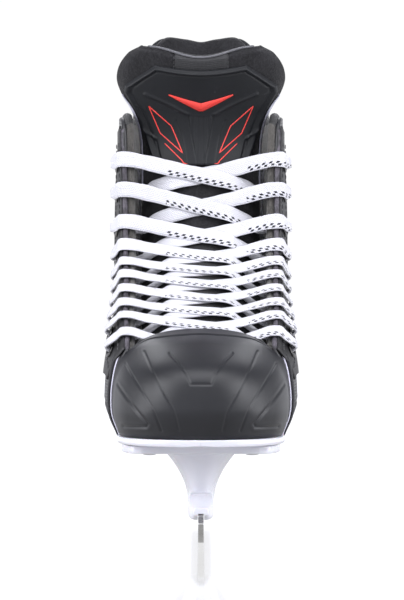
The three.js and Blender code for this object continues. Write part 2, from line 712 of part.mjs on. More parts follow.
function buildTongue() {
  const lower = shell(tongue, TONGUE_SIGN, stations(0, TONGUE_SPLIT.lower, 28), [0, 1], 10, 0, tonguePad);
  const upperPad = shell(tongue, TONGUE_SIGN, stations(TONGUE_SPLIT.upper, 1, 22), [0, 1], 14, 0, tonguePad);
  const shieldUs = stations(shieldHalves[0][0], shieldHalves.at(-1)[0], 22);
  const shield = shell(tongue, TONGUE_SIGN, shieldUs, shieldSpan, 10, SHIELD_GAP + SHIELD_WALL, SHIELD_GAP);
  add('tongue_pad_lower', geometryOf(lower.subtract(laceRoom)), feltDark);
  add('tongue_pad_upper', geometryOf(upperPad), feltDark);
  add('tongue_shield', geometryOf(shield), capPlastic);
}

function buildLace() {
  add('lace', geometryOf(laceSolid(0, 1)), laceWhite);
  const ends = { left: [lacePoints[0], lacePoints[1]], right: [lacePoints.at(-1), lacePoints.at(-2)] };
  for (const [name, [end, before]] of Object.entries(ends)) {
    const along = new THREE.Vector3().subVectors(end.place, before.place).normalize();
    const from = end.place.clone().addScaledVector(along, GAP);
    const to = from.clone().addScaledVector(along, AGLET_LENGTH);
    add(`aglet_${name}`, geometryOf(rod(from, to, AGLET_RADIUS, 10)), whitePlastic);
  }
}

// Sole, board, footbed and the rivets that join them to the holder -------------------------------------

const rivetSpots = [];
for (const side of [-1, 1]) {
  for (const [x, y] of [[28, -112], [31.5, -90], [31, -66], [28, -40], [17, 56], [19, 88], [12, 118]]) {
    rivetSpots.push([side * x, y]);
  }
}

const boltStations = { front: -78, rear: 86 };

function drillRivets(solid) {
  let drilled = solid;
  for (const [x, y] of rivetSpots) {
    const top = place(x, y, patternSole(y));
    const up = new THREE.Vector3(0, 0, 20);
    drilled = drilled.subtract(rod(top.clone().sub(up), top.clone().add(up), RIVET_SHANK + GAP, 8));
  }
  return drilled;
}

const outsoleBottom = -OUTSOLE_WALL;
const boardTop = GAP + BOARD_WALL;
const footbedBottom = boardTop + RIVET_HEAD_HEIGHT + 2 * GAP + 0.3;
const flangeTop = outsoleBottom - GAP;
const flangeBottom = flangeTop - FLANGE_WALL;

function buildSole() {
  const toe = -149;
  const heel = 137.5;
  const outsole = soleLayer(toe, heel, 0, outsoleBottom, 0, 26, true);
  const board = soleLayer(toe + BOARD_INSET, heel - BOARD_INSET, BOARD_INSET, GAP, boardTop, 22, true);
  const bedTop = footbedBottom + FOOTBED_WALL;
  const bed = soleLayer(toe + BOARD_INSET, heel - BOARD_INSET, BOARD_INSET, footbedBottom, bedTop, 22, true);
  add('outsole', geometryOf(drillRivets(outsole)), whitePlastic);
  add('insole_board', geometryOf(drillRivets(board)), boardFibre);
  add('footbed', geometryOf(bed), footbedFoam);
}

function buildRivets() {
  rivetSpots.forEach(([x, y], index) => {
    const top = place(x, y, patternSole(y));
    const slope = (soleTop(top.y + 5) - soleTop(top.y - 5)) / 10;
    const tilt = Math.abs(slope) * RIVET_HEAD + GAP;
    const low = flangeBottom - tilt;
    const high = boardTop + tilt;
    const profile = [
      [0, low - RIVET_HEAD_HEIGHT], [RIVET_HEAD * 0.75, low - RIVET_HEAD_HEIGHT], [RIVET_HEAD, low],
      [RIVET_SHANK, low], [RIVET_SHANK, high], [RIVET_HEAD * 0.8, high],
      [RIVET_HEAD * 0.6, high + RIVET_HEAD_HEIGHT * 0.8], [0, high + RIVET_HEAD_HEIGHT * 0.8],
    ];
    const end = y < 0 ? 'front' : 'rear';
    const number = (index % 7) + 1 - (y < 0 ? 0 : 4);
    const name = `rivet_${end}_${x < 0 ? 'left' : 'right'}_${number}`;
    add(name, geometryOf(turned(profile, top, new THREE.Vector3(0, 0, 1), 8)), zincSteel);
  });
}

// Holder: two flanges under the sole, two pillars, and a rail with the runner's slot ------------------

// A rounded section of a pillar: its half width, its ends along the boot, and its height at each y.
function pillarRing(half, fromY, toY, heightAt) {
  const ring = [];
  const count = 16;
  for (let i = 0; i < count; i += 1) {
    const turn = i / count * 2 * Math.PI;
    const round = (c) => Math.sign(c) * Math.abs(c) ** 0.7;
    const y = mix(fromY, toY, (1 + round(Math.sin(turn))) / 2);
    ring.push(new THREE.Vector3(half * round(Math.cos(turn)), y, heightAt(y)));
  }
  return ring;
}

// A pillar flares from the rail up into the middle of its flange, which follows the slope of the sole.
function pillar(spanTop, spanBottom, topHalf) {
  const levels = [[0, 1], [0.18, 0.72], [0.45, 0.34], [0.75, 0.08], [1, 0]];
  const bottomZ = RAIL_TOP - 8;
  const topZ = (y) => soleTop(y) + (flangeTop + flangeBottom) / 2;
  return loft(levels.map(([down, share]) => pillarRing(
    mix(RAIL_HALF_WIDTH - 0.05, topHalf, share), mix(spanBottom[0], spanTop[0], share),
    mix(spanBottom[1], spanTop[1], share), (y) => mix(topZ(y), bottomZ, down))));
}

function rail() {
  const front = -RUNNER_LENGTH / 2 + 8;
  const rear = RUNNER_LENGTH / 2 - 8;
  const outline = [
    [front, RAIL_BOTTOM + 1], [front + 8, RAIL_BOTTOM], [rear - 8, RAIL_BOTTOM], [rear, RAIL_BOTTOM + 1],
    [rear + 1, RAIL_BOTTOM + 8], [rear - 10, RAIL_TOP - 2], [rear - 22, RAIL_TOP],
    [front + 22, RAIL_TOP], [front + 9, RAIL_TOP - 2], [front - 1, RAIL_BOTTOM + 8],
  ];
  return sidePrism(outline, -RAIL_HALF_WIDTH, RAIL_HALF_WIDTH);
}

function runnerOutline(grow) {
  const half = RUNNER_LENGTH / 2;
  const outline = [];
  const foot = (y) => Math.max(0, Math.abs(y) - RUNNER_FLAT / 2) ** 2 / (2 * RUNNER_ROCKER);
  for (const y of [-half + 24, -90, -60, -40, -20, 20, 40, 60, 90, half - 24]) {
    outline.push([y, foot(y) - grow]);
  }
  const top = RAIL_BOTTOM + SLOT_DEPTH + grow;
  outline.push([half - 12, 4.5 - grow], [half - 4 + grow, 9], [half + grow, RAIL_BOTTOM - 1]);
  outline.push([half - 3, RAIL_BOTTOM + 1]);
  outline.push([half - 14 + grow, top], [-half + 14 - grow, top]);
  outline.push([-half + 3, RAIL_BOTTOM + 1], [-half - grow, RAIL_BOTTOM - 1]);
  outline.push([-half + 4 - grow, 9], [-half + 12, 4.5 - grow]);
  return outline;
}

function buildHolder() {
  const steps = 10;
  let holder = soleLayer(-127, -20, FLANGE_INSET, flangeBottom, flangeTop, steps, false);
  holder = holder.add(soleLayer(42, 134, FLANGE_INSET, flangeBottom, flangeTop, steps, false));
  holder = holder.add(pillar([-121, -30], [-112, -44], 20));
  holder = holder.add(pillar([48, 126], [58, 116], 19));
  holder = holder.add(rail());
  for (const y of Object.values(boltStations)) {
    const at = (z) => new THREE.Vector3(0, y, z);
    holder = holder.subtract(rod(at(RAIL_BOTTOM), at(NUT_FLOOR + 2), BOLT_RADIUS + GAP, 12));
    holder = holder.subtract(rod(at(NUT_FLOOR), at(80), NUT_RADIUS + 3, 14));
  }
  const slotHalf = RUNNER_THICKNESS / 2 + GAP;
  holder = holder.subtract(sidePrism(runnerOutline(GAP), -slotHalf, slotHalf));
  for (const [x, y] of rivetSpots) {
    const under = place(x, y, patternSole(y)).add(new THREE.Vector3(0, 0, flangeBottom));
    const well = under.clone().add(new THREE.Vector3(0, 0, -RIVET_WELL));
    holder = holder.subtract(rod(under, well, RIVET_HEAD + GAP, 10));
  }
  add('blade_holder', geometryOf(drillRivets(holder)), whitePlastic);
}

function buildRunner() {
  const half = RUNNER_THICKNESS / 2;
  add('runner', geometryOf(sidePrism(runnerOutline(0), -half, half)), steel);
  for (const [name, y] of Object.entries(boltStations)) {
    const foot = RAIL_BOTTOM + SLOT_DEPTH + GAP;
    const at = (z) => new THREE.Vector3(0, y, z);
    const tip = NUT_FLOOR + NUT_HEIGHT + 2;
    add(`runner_bolt_${name}`, geometryOf(rod(at(foot), at(tip), BOLT_RADIUS, 12)), zincSteel);
    const nut = rod(at(NUT_FLOOR + GAP), at(NUT_FLOOR + GAP + NUT_HEIGHT), NUT_RADIUS, 6);
    const bore = rod(at(NUT_FLOOR - 1), at(NUT_FLOOR + NUT_HEIGHT + 2), BOLT_RADIUS + GAP, 12);
    add(`runner_nut_${name}`, geometryOf(nut.subtract(bore)), zincSteel);
  }
}

buildCap();
buildUpper();
buildHeelCounter();
buildGuard();
buildTongue();
buildEyelets();
buildLace();
buildSole();
buildRivets();
buildHolder();
buildRunner();

export default group;
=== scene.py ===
import math
import bpy
import numpy as np
from mathutils import Matrix, Vector
from mathutils.bvhtree import BVHTree


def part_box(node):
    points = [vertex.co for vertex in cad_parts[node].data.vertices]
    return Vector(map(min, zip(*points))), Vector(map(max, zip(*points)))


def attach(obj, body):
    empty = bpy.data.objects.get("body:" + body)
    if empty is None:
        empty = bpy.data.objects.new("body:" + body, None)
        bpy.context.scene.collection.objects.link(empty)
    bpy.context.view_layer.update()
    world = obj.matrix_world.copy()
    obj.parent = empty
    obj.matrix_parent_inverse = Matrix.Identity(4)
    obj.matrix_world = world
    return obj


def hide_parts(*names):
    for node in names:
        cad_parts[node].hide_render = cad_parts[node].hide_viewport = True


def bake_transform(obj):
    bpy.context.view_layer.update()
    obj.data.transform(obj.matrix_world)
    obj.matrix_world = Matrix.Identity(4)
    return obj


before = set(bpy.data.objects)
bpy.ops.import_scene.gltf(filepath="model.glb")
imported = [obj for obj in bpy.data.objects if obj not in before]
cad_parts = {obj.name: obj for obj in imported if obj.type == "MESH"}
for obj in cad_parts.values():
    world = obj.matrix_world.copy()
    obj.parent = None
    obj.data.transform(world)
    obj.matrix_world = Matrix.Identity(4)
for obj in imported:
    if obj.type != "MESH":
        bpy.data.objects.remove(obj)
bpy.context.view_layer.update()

MM = 0.001

# The lace in millimetres: lying flat, drawn through an eyelet, and at its partly drawn-in loose ends.
LACE_WIDTH = 9.0
LACE_THICK = 1.15
LACE_NECK_WIDTH = 4.0
LACE_NECK_THICK = 1.7
LACE_END_NECK = 0.8


# ---- camera, floor and light ------------------------------------------------------------------

def make_camera():
    """A long lens in front of the toe, a little above it."""
    elevation = math.radians(2.9)
    distance = 2.5
    half_height = 0.1608
    data = bpy.data.cameras.new("camera")
    data.sensor_width = 36.0
    data.lens = data.sensor_width / 2 * distance / half_height
    camera = bpy.data.objects.new("camera", data)
    bpy.context.scene.collection.objects.link(camera)
    aim = Vector((0.0006, -0.15, 0.1358))
    back = Vector((0.0, -math.cos(elevation), math.sin(elevation)))
    camera.location = aim + back * distance
    camera.rotation_mode = "QUATERNION"
    camera.rotation_quaternion = (-back).to_track_quat("-Z", "Y")
    bpy.context.scene.camera = camera


COOL_WHITE = (0.95, 0.96, 1.0)

# Each soft box: its name, place, the point it faces, its width and height, and its power.
STUDIO_LIGHTS = [
    ("left_box", (-1.15, -0.75, 0.85), (0, -0.05, 0.12), (0.8, 1.0), 16),
    ("right_box", (1.15, -0.75, 0.85), (0, -0.05, 0.12), (0.8, 1.0), 16),
    ("left_low_box", (-1.2, -0.1, 0.25), (0, 0, 0.1), (0.5, 0.9), 6),
    ("right_low_box", (1.2, -0.1, 0.25), (0, 0, 0.1), (0.5, 0.9), 6),
    ("back_box", (0, 1.3, 1.1), (0, 0, 0.16), (1.4, 0.7), 10),
    ("top_box", (0, -0.55, 1.3), (0, -0.1, 0.1), (1.3, 0.6), 12),
    ("front_box", (0.0, -2.2, 1.0), (0, -0.05, 0.14), (1.6, 0.6), 4),
]


def add_light(name, place, target, size, power):
    """A cool white soft box that faces its target."""
    data = bpy.data.lights.new(name, "AREA")
    data.shape = "RECTANGLE"
    data.size, data.size_y = size
    data.energy = power
    data.color = COOL_WHITE
    light = bpy.data.objects.new(name, data)
    bpy.context.scene.collection.objects.link(light)
    light.location = place
    light.rotation_mode = "QUATERNION"
    light.rotation_quaternion = (Vector(target) - Vector(place)).to_track_quat("-Z", "Y")


def make_stage():
    """A white backdrop, brighter light near the horizon, the floor and the soft boxes."""
    bpy.context.scene.view_settings.view_transform = "Standard"
    world = bpy.data.worlds.new("studio")
    bpy.context.scene.world = world
    world.use_nodes = True
    tree = world.node_tree
    backdrop = tree.nodes["Background"]
    backdrop.inputs["Color"].default_value = (1.0, 1.0, 1.0, 1)
    backdrop.inputs["Strength"].default_value = 1.02
    around = tree.nodes.new("ShaderNodeBackground")
    around.inputs["Color"].default_value = (0.94, 0.95, 1.0, 1)
    direction = tree.nodes.new("ShaderNodeTexCoord")
    axes = tree.nodes.new("ShaderNodeSeparateXYZ")
    tree.links.new(direction.outputs["Generated"], axes.inputs[0])
    horizon = tree.nodes.new("ShaderNodeMapRange")
    horizon.interpolation_type = "SMOOTHSTEP"
    for socket, value in zip(horizon.inputs[1:5], (0.09, 0.24, 1.25, 0.46)):
        socket.default_value = value
    tree.links.new(axes.outputs["Z"], horizon.inputs[0])
    tree.links.new(horizon.outputs[0], around.inputs["Strength"])
    path = tree.nodes.new("ShaderNodeLightPath")
    mix = tree.nodes.new("ShaderNodeMixShader")
    tree.links.new(path.outputs["Is Camera Ray"], mix.inputs[0])
    tree.links.new(around.outputs[0], mix.inputs[1])
    tree.links.new(backdrop.outputs[0], mix.inputs[2])
    tree.links.new(mix.outputs[0], tree.nodes["World Output"].inputs["Surface"])
    bpy.ops.object.select_all(action="DESELECT")
    bpy.ops.mesh.primitive_circle_add(vertices=96, radius=1.1, fill_type="NGON", location=(0, 0.2, -0.0002))
    floor = bpy.context.active_object
    floor.name = "floor"
    floor.data.materials.append(floor_finish())
    for light in STUDIO_LIGHTS:
        add_light(*light)


def floor_finish():
    """Lit white acrylic: bright from above, and a clear reflection where it is seen at a low angle."""
    material = bpy.data.materials.new("white_acrylic")
    material.use_nodes = True
    tree = material.node_tree
    tree.nodes.remove(tree.nodes["Principled BSDF"])
    white = tree.nodes.new("ShaderNodeEmission")
    white.inputs["Color"].default_value = (1.0, 1.0, 1.0, 1)
    path = tree.nodes.new("ShaderNodeLightPath")
    strength = tree.nodes.new("ShaderNodeMapRange")
    for socket, value in zip(strength.inputs[1:5], (0, 1, 0.72, 1.2)):
        socket.default_value = value
    tree.links.new(path.outputs["Is Camera Ray"], strength.inputs[0])
    tree.links.new(strength.outputs[0], white.inputs["Strength"])
    mirror = tree.nodes.new("ShaderNodeBsdfGlossy")
    mirror.inputs["Color"].default_value = (0.97, 0.97, 1.0, 1)
    mirror.inputs["Roughness"].default_value = 0.06
    fresnel = tree.nodes.new("ShaderNodeFresnel")
    fresnel.inputs["IOR"].default_value = 1.45
    share = tree.nodes.new("ShaderNodeMath")
    share.operation = "MULTIPLY"
    share.inputs[1].default_value = 0.88
    tree.links.new(fresnel.outputs[0], share.inputs[0])
    mix = tree.nodes.new("ShaderNodeMixShader")
    tree.links.new(share.outputs[0], mix.inputs[0])
    tree.links.new(white.outputs[0], mix.inputs[1])
    tree.links.new(mirror.outputs[0], mix.inputs[2])
    tree.links.new(mix.outputs[0], tree.nodes["Material Output"].inputs["Surface"])
    return material


make_camera()
make_stage()


# ---- surfaces drawn as nets of ribs -----------------------------------------------------------

def spline(points, t):
    """A smooth line through points, counted evenly from 0 to 1, at each value of t."""
    points = np.asarray(points, float)
    ends = np.concatenate([[2 * points[0] - points[1]], points, [2 * points[-1] - points[-2]]])
    place = np.clip(np.asarray(t, float), 0, 1) * (len(points) - 1)
    index = np.minimum(place.astype(int), len(points) - 2)
    w = (place - index).reshape((-1,) + (1,) * (points.ndim - 1))
    a, b, c, d = (ends[index + k] for k in range(4))
    return 0.5 * (2 * b + (c - a) * w + (2 * a - 5 * b + 4 * c - d) * w ** 2
                  + (3 * b - a - 3 * c + d) * w ** 3)


def net(ribs, u, v):
    """The grid of points of a net: ribs are rows of control points, u runs across them and v along."""
    across = np.stack([spline(rib, v) for rib in ribs])
    return spline(across, u)


def grid_normals(grid):
    """Unit normals of a grid of points."""
    normal = np.cross(np.gradient(grid, axis=0), np.gradient(grid, axis=1))
    length = np.linalg.norm(normal, axis=2, keepdims=True)
    return normal / np.maximum(length, 1e-12)


def side_normals(grid, i, j):
    """Unit normals turned away from the middle plane, as judged at the grid's point i, j."""
    normal = grid_normals(grid)
    return normal * np.sign(normal[i, j, 0]) * np.sign(grid[i, j, 0])


def smooth(t):
    """An even step from 0 to 1, level at both ends."""
    t = np.clip(t, 0, 1)
    return t * t * (3 - 2 * t)


def mirror_ribs(ribs):
    """The same ribs on the other side of the middle plane."""
    return [[(-x, y, z) for x, y, z in rib] for rib in ribs]


def sole_height(y):
    """Top of the outsole in millimetres: a little toe spring and a raised heel."""
    y = np.asarray(y, float)
    front = 58.5 + 1.8 * np.maximum(0, (-60 - y) / 90) ** 1.5
    return np.where(y < -60, front, 58.5 + 10 * smooth((y + 60) / 200))


def sole_half(y, inset):
    """Half width of the sole in millimetres, drawn in by an inset all round."""
    y = np.asarray(y, float)
    rounded = lambda t: (1 - np.clip(t, 0, 1) ** 2.3) ** (1 / 2.3)
    toe = (46 - inset) * rounded((-95 - y) / (54 - inset))
    heel = (32.5 - inset) * rounded((y - 100) / (37.5 - inset))
    waist = 46 + (33 - 46) * smooth((y + 60) / 85) - inset
    seat = 33 - 0.5 * (y - 25) / 75 - inset
    middle = np.where(y < -60, 46 - inset, np.where(y < 25, waist, seat))
    return np.where(y < -95, toe, np.where(y > 100, heel, middle))


def rib(foot_x, foot_y, upper):
    """A rib that starts on the sole's top and runs up through the given points."""
    return [(foot_x, foot_y, float(sole_height(foot_y)))] + upper


def foot_at(y):
    """How far out a rib starts on the sole."""
    return float(sole_half(y, 1))


QUARTER_RIBS = [
    rib(foot_at(-83.6), -83.6, [(48.7, -85.6, 70), (49, -86.4, 83), (46.5, -87, 95), (41.5, -86.5, 105)]),
    rib(foot_at(-60), -60, [(52.5, -61, 71), (53.2, -60, 88), (49.5, -59, 108), (42.5, -58, 121.1)]),
    rib(foot_at(-28), -28, [(47.5, -28, 74), (50.5, -27, 94), (48.5, -26.5, 116), (43, -26, 134.6)]),
    rib(foot_at(5), 5, [(42.5, 5, 78), (48, 5, 101), (48, 4.5, 126), (43.5, 4, 148.6)]),
    rib(foot_at(35), 35, [(40.5, 34, 81), (47, 32, 108), (48, 27, 138), (44, 21.5, 164)]),
    rib(foot_at(60), 60, [(40, 60, 85), (46.5, 56, 116), (48.5, 44, 156), (44.5, 30, 189.7)]),
    rib(foot_at(82), 82, [(39.5, 84, 87), (45, 80, 122), (48.5, 62, 176), (45.5, 40, 226.5)]),
    rib(foot_at(98), 98, [(37.5, 102, 89), (41.5, 99, 124), (47.5, 82, 180), (47.5, 62, 230)]),
    rib(foot_at(114), 114, [(31, 121, 91), (33, 116, 126), (42.5, 101, 180), (45, 90, 226)]),
    rib(foot_at(126), 126, [(21, 135, 92), (21, 128, 128), (32, 118, 184), (36, 114, 230)]),
    rib(foot_at(133.5), 133.5, [(10, 142.5, 92), (9.5, 135, 129), (15, 127, 185), (18.5, 129.5, 238)]),
]
HEEL_RIB = rib(0, 136.5, [(0, 145, 92), (0, 137.5, 129), (0, 131, 185), (0, 134.5, 241)])
UPPER_RIBS = QUARTER_RIBS + [HEEL_RIB] + mirror_ribs(QUARTER_RIBS)[::-1]

CAP_RIBS = [
    rib(foot_at(-84), -84, [(48.5, -86, 70), (48.6, -87, 84), (45, -88, 99), (34, -88, 110)]),
    rib(44.5, -104, [(47, -106, 75), (44.5, -104, 92), (35, -98, 106.5), (25, -88, 113.6)]),
    rib(38, -124, [(40, -127, 76), (36.5, -121, 95), (26, -107, 108.5), (17, -87, 115.4)]),
    rib(23, -141.5, [(24.5, -145, 77), (22, -137, 97), (15, -113, 109.5), (8.5, -85.5, 116.3)]),
]
CAP_MIDDLE = rib(0, -147.5, [(0, -151, 78), (0, -142.5, 98), (0, -114, 110.5), (0, -84, 116.5)])
CAP_NET = CAP_RIBS + [CAP_MIDDLE] + mirror_ribs(CAP_RIBS)[::-1]

# The front edge of the quarters in the side view: a point for each lace row, between its two ends.
FACING_LINE = [
    (0, -86.5, 105),
    (0, -74, 113), (0, -58, 121.1), (0, -42, 127.5), (0, -26, 134.6), (0, -10.5, 141.8),
    (0, 4, 148.6), (0, 17, 157.8), (0, 25, 171.3), (0, 30, 189.7), (0, 34, 206.9),
    (0, 40, 226.5),
]
ROWS = len(FACING_LINE) - 2


def facing(row):
    """Point on the facing line at a lace row, the way up the line, and the way out in front of it."""
    t = (row + 1) / (len(FACING_LINE) - 1)
    here = spline(FACING_LINE, [t])[0]
    step = 1e-3
    up = spline(FACING_LINE, [min(1, t + step)])[0] - spline(FACING_LINE, [max(0, t - step)])[0]
    up = up / np.linalg.norm(up)
    return here, up, np.array([0, -up[2], up[1]])


# ---- meshes ------------------------------------------------------------------------------------

def new_object(name, points, faces, uvs=None):
    """A piece from points in metres; uvs, if given, is one (u, v) for each point."""
    mesh = bpy.data.meshes.new(name)
    mesh.from_pydata([tuple(p) for p in points], [], faces)
    if uvs is not None:
        layer = mesh.uv_layers.new(name="UVMap")
        index = np.empty(len(mesh.loops), int)
        mesh.loops.foreach_get("vertex_index", index)
        layer.data.foreach_set("uv", np.asarray(uvs, np.float32)[index].ravel())
    mesh.validate()
    piece = bpy.data.objects.new(name, mesh)
    bpy.context.scene.collection.objects.link(piece)
    mesh.polygons.foreach_set("use_smooth", [True] * len(mesh.polygons))
    return piece


def strip_faces(rows, columns, wrap_columns=False, start=0):
    """Four-cornered faces between the points of a grid, whose first point has the index start."""
    faces = []
    for i in range(rows - 1):
        for j in range(columns if wrap_columns else columns - 1):
            a = start + i * columns + j
            b = start + i * columns + (j + 1) % columns
            c = start + (i + 1) * columns + (j + 1) % columns
            d = start + (i + 1) * columns + j
            faces.append((a, b, c, d))
    return faces


def outward(piece):
    """Turns the faces of a closed piece outwards."""
    mesh = piece.data
    mesh.calc_loop_triangles()
    corners = np.empty(len(mesh.vertices) * 3)
    mesh.vertices.foreach_get("co", corners)
    triangles = np.empty(len(mesh.loop_triangles) * 3, int)
    mesh.loop_triangles.foreach_get("vertices", triangles)
    a, b, c = (corners.reshape(-1, 3)[triangles.reshape(-1, 3)[:, k]] for k in range(3))
    if (a * np.cross(b, c)).sum() < 0:
        mesh.flip_normals()
    return piece


def lofted(name, rings, uvs=None):
    """A closed piece through rings of points in millimetres, with flat ends."""
    rings = np.asarray(rings, float)
    rows, columns = rings.shape[:2]
    faces = strip_faces(rows, columns, wrap_columns=True)
    faces.append(tuple(range(columns)))
    faces.append(tuple(reversed(range((rows - 1) * columns, rows * columns))))
    return outward(new_object(name, rings.reshape(-1, 3) * MM, faces, uvs))


def grid_loop(rows, columns, step=1):
    """The indices round the edge of a grid, every step-th row and column, in order."""
    loop = [(0, j) for j in range(0, columns - 1, step)]
    loop += [(i, columns - 1) for i in range(0, rows - 1, step)]
    loop += [(rows - 1, j) for j in range(columns - 1, 0, -step)]
    return loop + [(i, 0) for i in range(rows - 1, 0, -step)]


def shell(name, outer, inner, rim=2, coarse=1):
    """A closed shell between two grids in millimetres, with a rounded rim; the inner face may be coarser."""
    rows, columns = outer.shape[:2]
    count = rows * columns
    inside = inner[::coarse, ::coarse]
    in_rows, in_columns = inside.shape[:2]
    points = [outer.reshape(-1, 3), inside.reshape(-1, 3)]
    faces = strip_faces(rows, columns)
    faces += [tuple(count + k for k in reversed(f)) for f in strip_faces(in_rows, in_columns)]
    loop = grid_loop(rows, columns)
    ids = np.array([i * columns + j for i, j in loop])
    top = outer.reshape(-1, 3)[ids]
    low = inner.reshape(-1, 3)[ids]
    step_out = []
    for i, j in loop:
        i2 = 1 if i == 0 else rows - 2 if i == rows - 1 else i
        j2 = 1 if j == 0 else columns - 2 if j == columns - 1 else j
        away = outer[i, j] - outer[i2, j2]
        step_out.append(away / max(1e-9, np.linalg.norm(away)))
    step_out = np.array(step_out)
    thick = np.linalg.norm(top - low, axis=1, keepdims=True)
    rings = [ids]
    base = count + in_rows * in_columns
    for k in range(1, rim + 1):
        share = k / (rim + 1)
        bulge = math.sin(math.pi * share) * 0.3
        points.append(top + (low - top) * share + step_out * thick * bulge)
        rings.append(base + np.arange(len(ids)))
        base += len(ids)
    for first, second in zip(rings, rings[1:]):
        for k in range(len(ids)):
            n = (k + 1) % len(ids)
            faces.append((int(first[n]), int(first[k]), int(second[k]), int(second[n])))
    last = rings[-1]
    sparse = grid_loop(rows, columns, coarse)
    inner_loop = [count + (i // coarse) * in_columns + j // coarse for i, j in sparse]
    for k, here in enumerate(inner_loop):
        following = inner_loop[(k + 1) % len(inner_loop)]
        fan = [int(last[(k * coarse + m) % len(ids)]) for m in range(coarse, -1, -1)]
        faces.append((*fan, here, following))
    return outward(new_object(name, np.concatenate(points) * MM, faces))


def tube(name, path, radius, sides):
    """A round cord of small radius along a path in millimetres, drawn in at its ends."""
    path = np.asarray(path, float)
    tangent = np.gradient(path, axis=0)
    tangent /= np.linalg.norm(tangent, axis=1, keepdims=True)
    normal = np.cross(tangent[0], (0, 0, 1.0))
    if np.linalg.norm(normal) < 1e-3:
        normal = np.cross(tangent[0], (1.0, 0, 0))
    radii = np.full(len(path), radius, float)
    radii[0] = radii[-1] = radius * 0.35
    rings = []
    for p, t, r in zip(path, tangent, radii):
        normal = normal - t * (normal @ t)
        normal = normal / np.linalg.norm(normal)
        side = np.cross(t, normal)
        turns = [2 * math.pi * k / sides for k in range(sides)]
        rings.append([p + r * (math.cos(a) * normal + math.sin(a) * side) for a in turns])
    return lofted(name, rings)


def resample(path, step):
    """Points a given distance apart along a path, ends kept."""
    path = np.asarray(path, float)
    lengths = np.concatenate([[0], np.cumsum(np.linalg.norm(np.diff(path, axis=0), axis=1))])
    count = max(2, int(round(lengths[-1] / step)) + 1)
    at = np.linspace(0, lengths[-1], count)
    return np.stack([np.interp(at, lengths, path[:, k]) for k in range(3)], axis=1)


# ---- finishes ----------------------------------------------------------------------------------

def make_group(name, inputs, outputs):
    """A shader group with its sockets, and its input and output nodes."""
    tree = bpy.data.node_groups.new(name, "ShaderNodeTree")
    for label, kind, value in inputs:
        socket = tree.interface.new_socket(label, in_out="INPUT", socket_type=kind)
        if value is not None:
            socket.default_value = value
    for label, kind in outputs:
        tree.interface.new_socket(label, in_out="OUTPUT", socket_type=kind)
    return tree, tree.nodes.new("NodeGroupInput"), tree.nodes.new("NodeGroupOutput")


def plug(tree, value, socket):
    """Feeds a socket with another socket or with a plain value."""
    if isinstance(value, bpy.types.NodeSocket):
        tree.links.new(value, socket)
    else:
        socket.default_value = value


def calc(tree, operation, a, b=0.0, c=0.0):
    """The result of one sum on sockets or plain values."""
    node = tree.nodes.new("ShaderNodeMath")
    node.operation = operation
    for value, socket in zip((a, b, c), node.inputs):
        plug(tree, value, socket)
    return node.outputs[0]


def remap(tree, value, low, high, to_low=0.0, to_high=1.0):
    """A value moved from one range to another and kept inside it."""
    node = tree.nodes.new("ShaderNodeMapRange")
    labels = ("Value", "From Min", "From Max", "To Min", "To Max")
    for label, given in zip(labels, (value, low, high, to_low, to_high)):
        plug(tree, given, node.inputs[label])
    return node.outputs["Result"]


def blend_colour(tree, share, first, second):
    """A colour between two others."""
    node = tree.nodes.new("ShaderNodeMix")
    node.data_type = "RGBA"
    plug(tree, share, node.inputs["Factor"])
    plug(tree, first, node.inputs["A"])
    plug(tree, second, node.inputs["B"])
    return node.outputs["Result"]


def split(tree, vector):
    """The three parts of a vector."""
    node = tree.nodes.new("ShaderNodeSeparateXYZ")
    tree.links.new(vector, node.inputs[0])
    return node.outputs


def noise(tree, vector, scale, detail=3.0, rough=0.5):
    """The strength of a noise pattern."""
    node = tree.nodes.new("ShaderNodeTexNoise")
    plug(tree, vector, node.inputs["Vector"])
    plug(tree, scale, node.inputs["Scale"])
    node.inputs["Detail"].default_value = detail
    node.inputs["Roughness"].default_value = rough
    return node.outputs["Fac"]


def grain_group():
    """Moulded or leather grain: rounded pebbles with finer noise on them."""
    tree, given, result = make_group(
        "pebble_grain",
        [("Vector", "NodeSocketVector", None), ("Scale", "NodeSocketFloat", 900.0),
         ("Pebble", "NodeSocketFloat", 0.5)],
        [("Height", "NodeSocketFloat"), ("Tone", "NodeSocketFloat")])
    cells = tree.nodes.new("ShaderNodeTexVoronoi")
    cells.feature = "SMOOTH_F1"
    tree.links.new(given.outputs["Vector"], cells.inputs["Vector"])
    tree.links.new(given.outputs["Scale"], cells.inputs["Scale"])
    fine = noise(tree, given.outputs["Vector"], calc(tree, "MULTIPLY", given.outputs["Scale"], 1.7), 4.0, 0.6)
    from_cell = calc(tree, "SUBTRACT", 1.0, cells.outputs["Distance"])
    pebble = calc(tree, "MULTIPLY", from_cell, given.outputs["Pebble"])
    height = calc(tree, "MULTIPLY_ADD", fine, 0.5, pebble)
    tree.links.new(height, result.inputs["Height"])
    tree.links.new(remap(tree, fine, 0.3, 0.7), result.inputs["Tone"])
    return tree


def weave_group():
    """Plain weave: threads passing over and under each other."""
    tree, given, result = make_group(
        "thread_weave",
        [("Vector", "NodeSocketVector", None), ("Threads", "NodeSocketFloat", 1200.0)],
        [("Height", "NodeSocketFloat"), ("Over", "NodeSocketFloat")])
    x, y, z = split(tree, given.outputs["Vector"])
    across = calc(tree, "MULTIPLY", x, given.outputs["Threads"])
    along = calc(tree, "MULTIPLY", calc(tree, "ADD", y, z), given.outputs["Threads"])
    a = calc(tree, "SINE", calc(tree, "MULTIPLY", across, math.pi))
    b = calc(tree, "SINE", calc(tree, "MULTIPLY", along, math.pi))
    product = calc(tree, "MULTIPLY", a, b)
    tree.links.new(calc(tree, "ABSOLUTE", product), result.inputs["Height"])
    tree.links.new(remap(tree, product, -0.25, 0.25), result.inputs["Over"])
    return tree


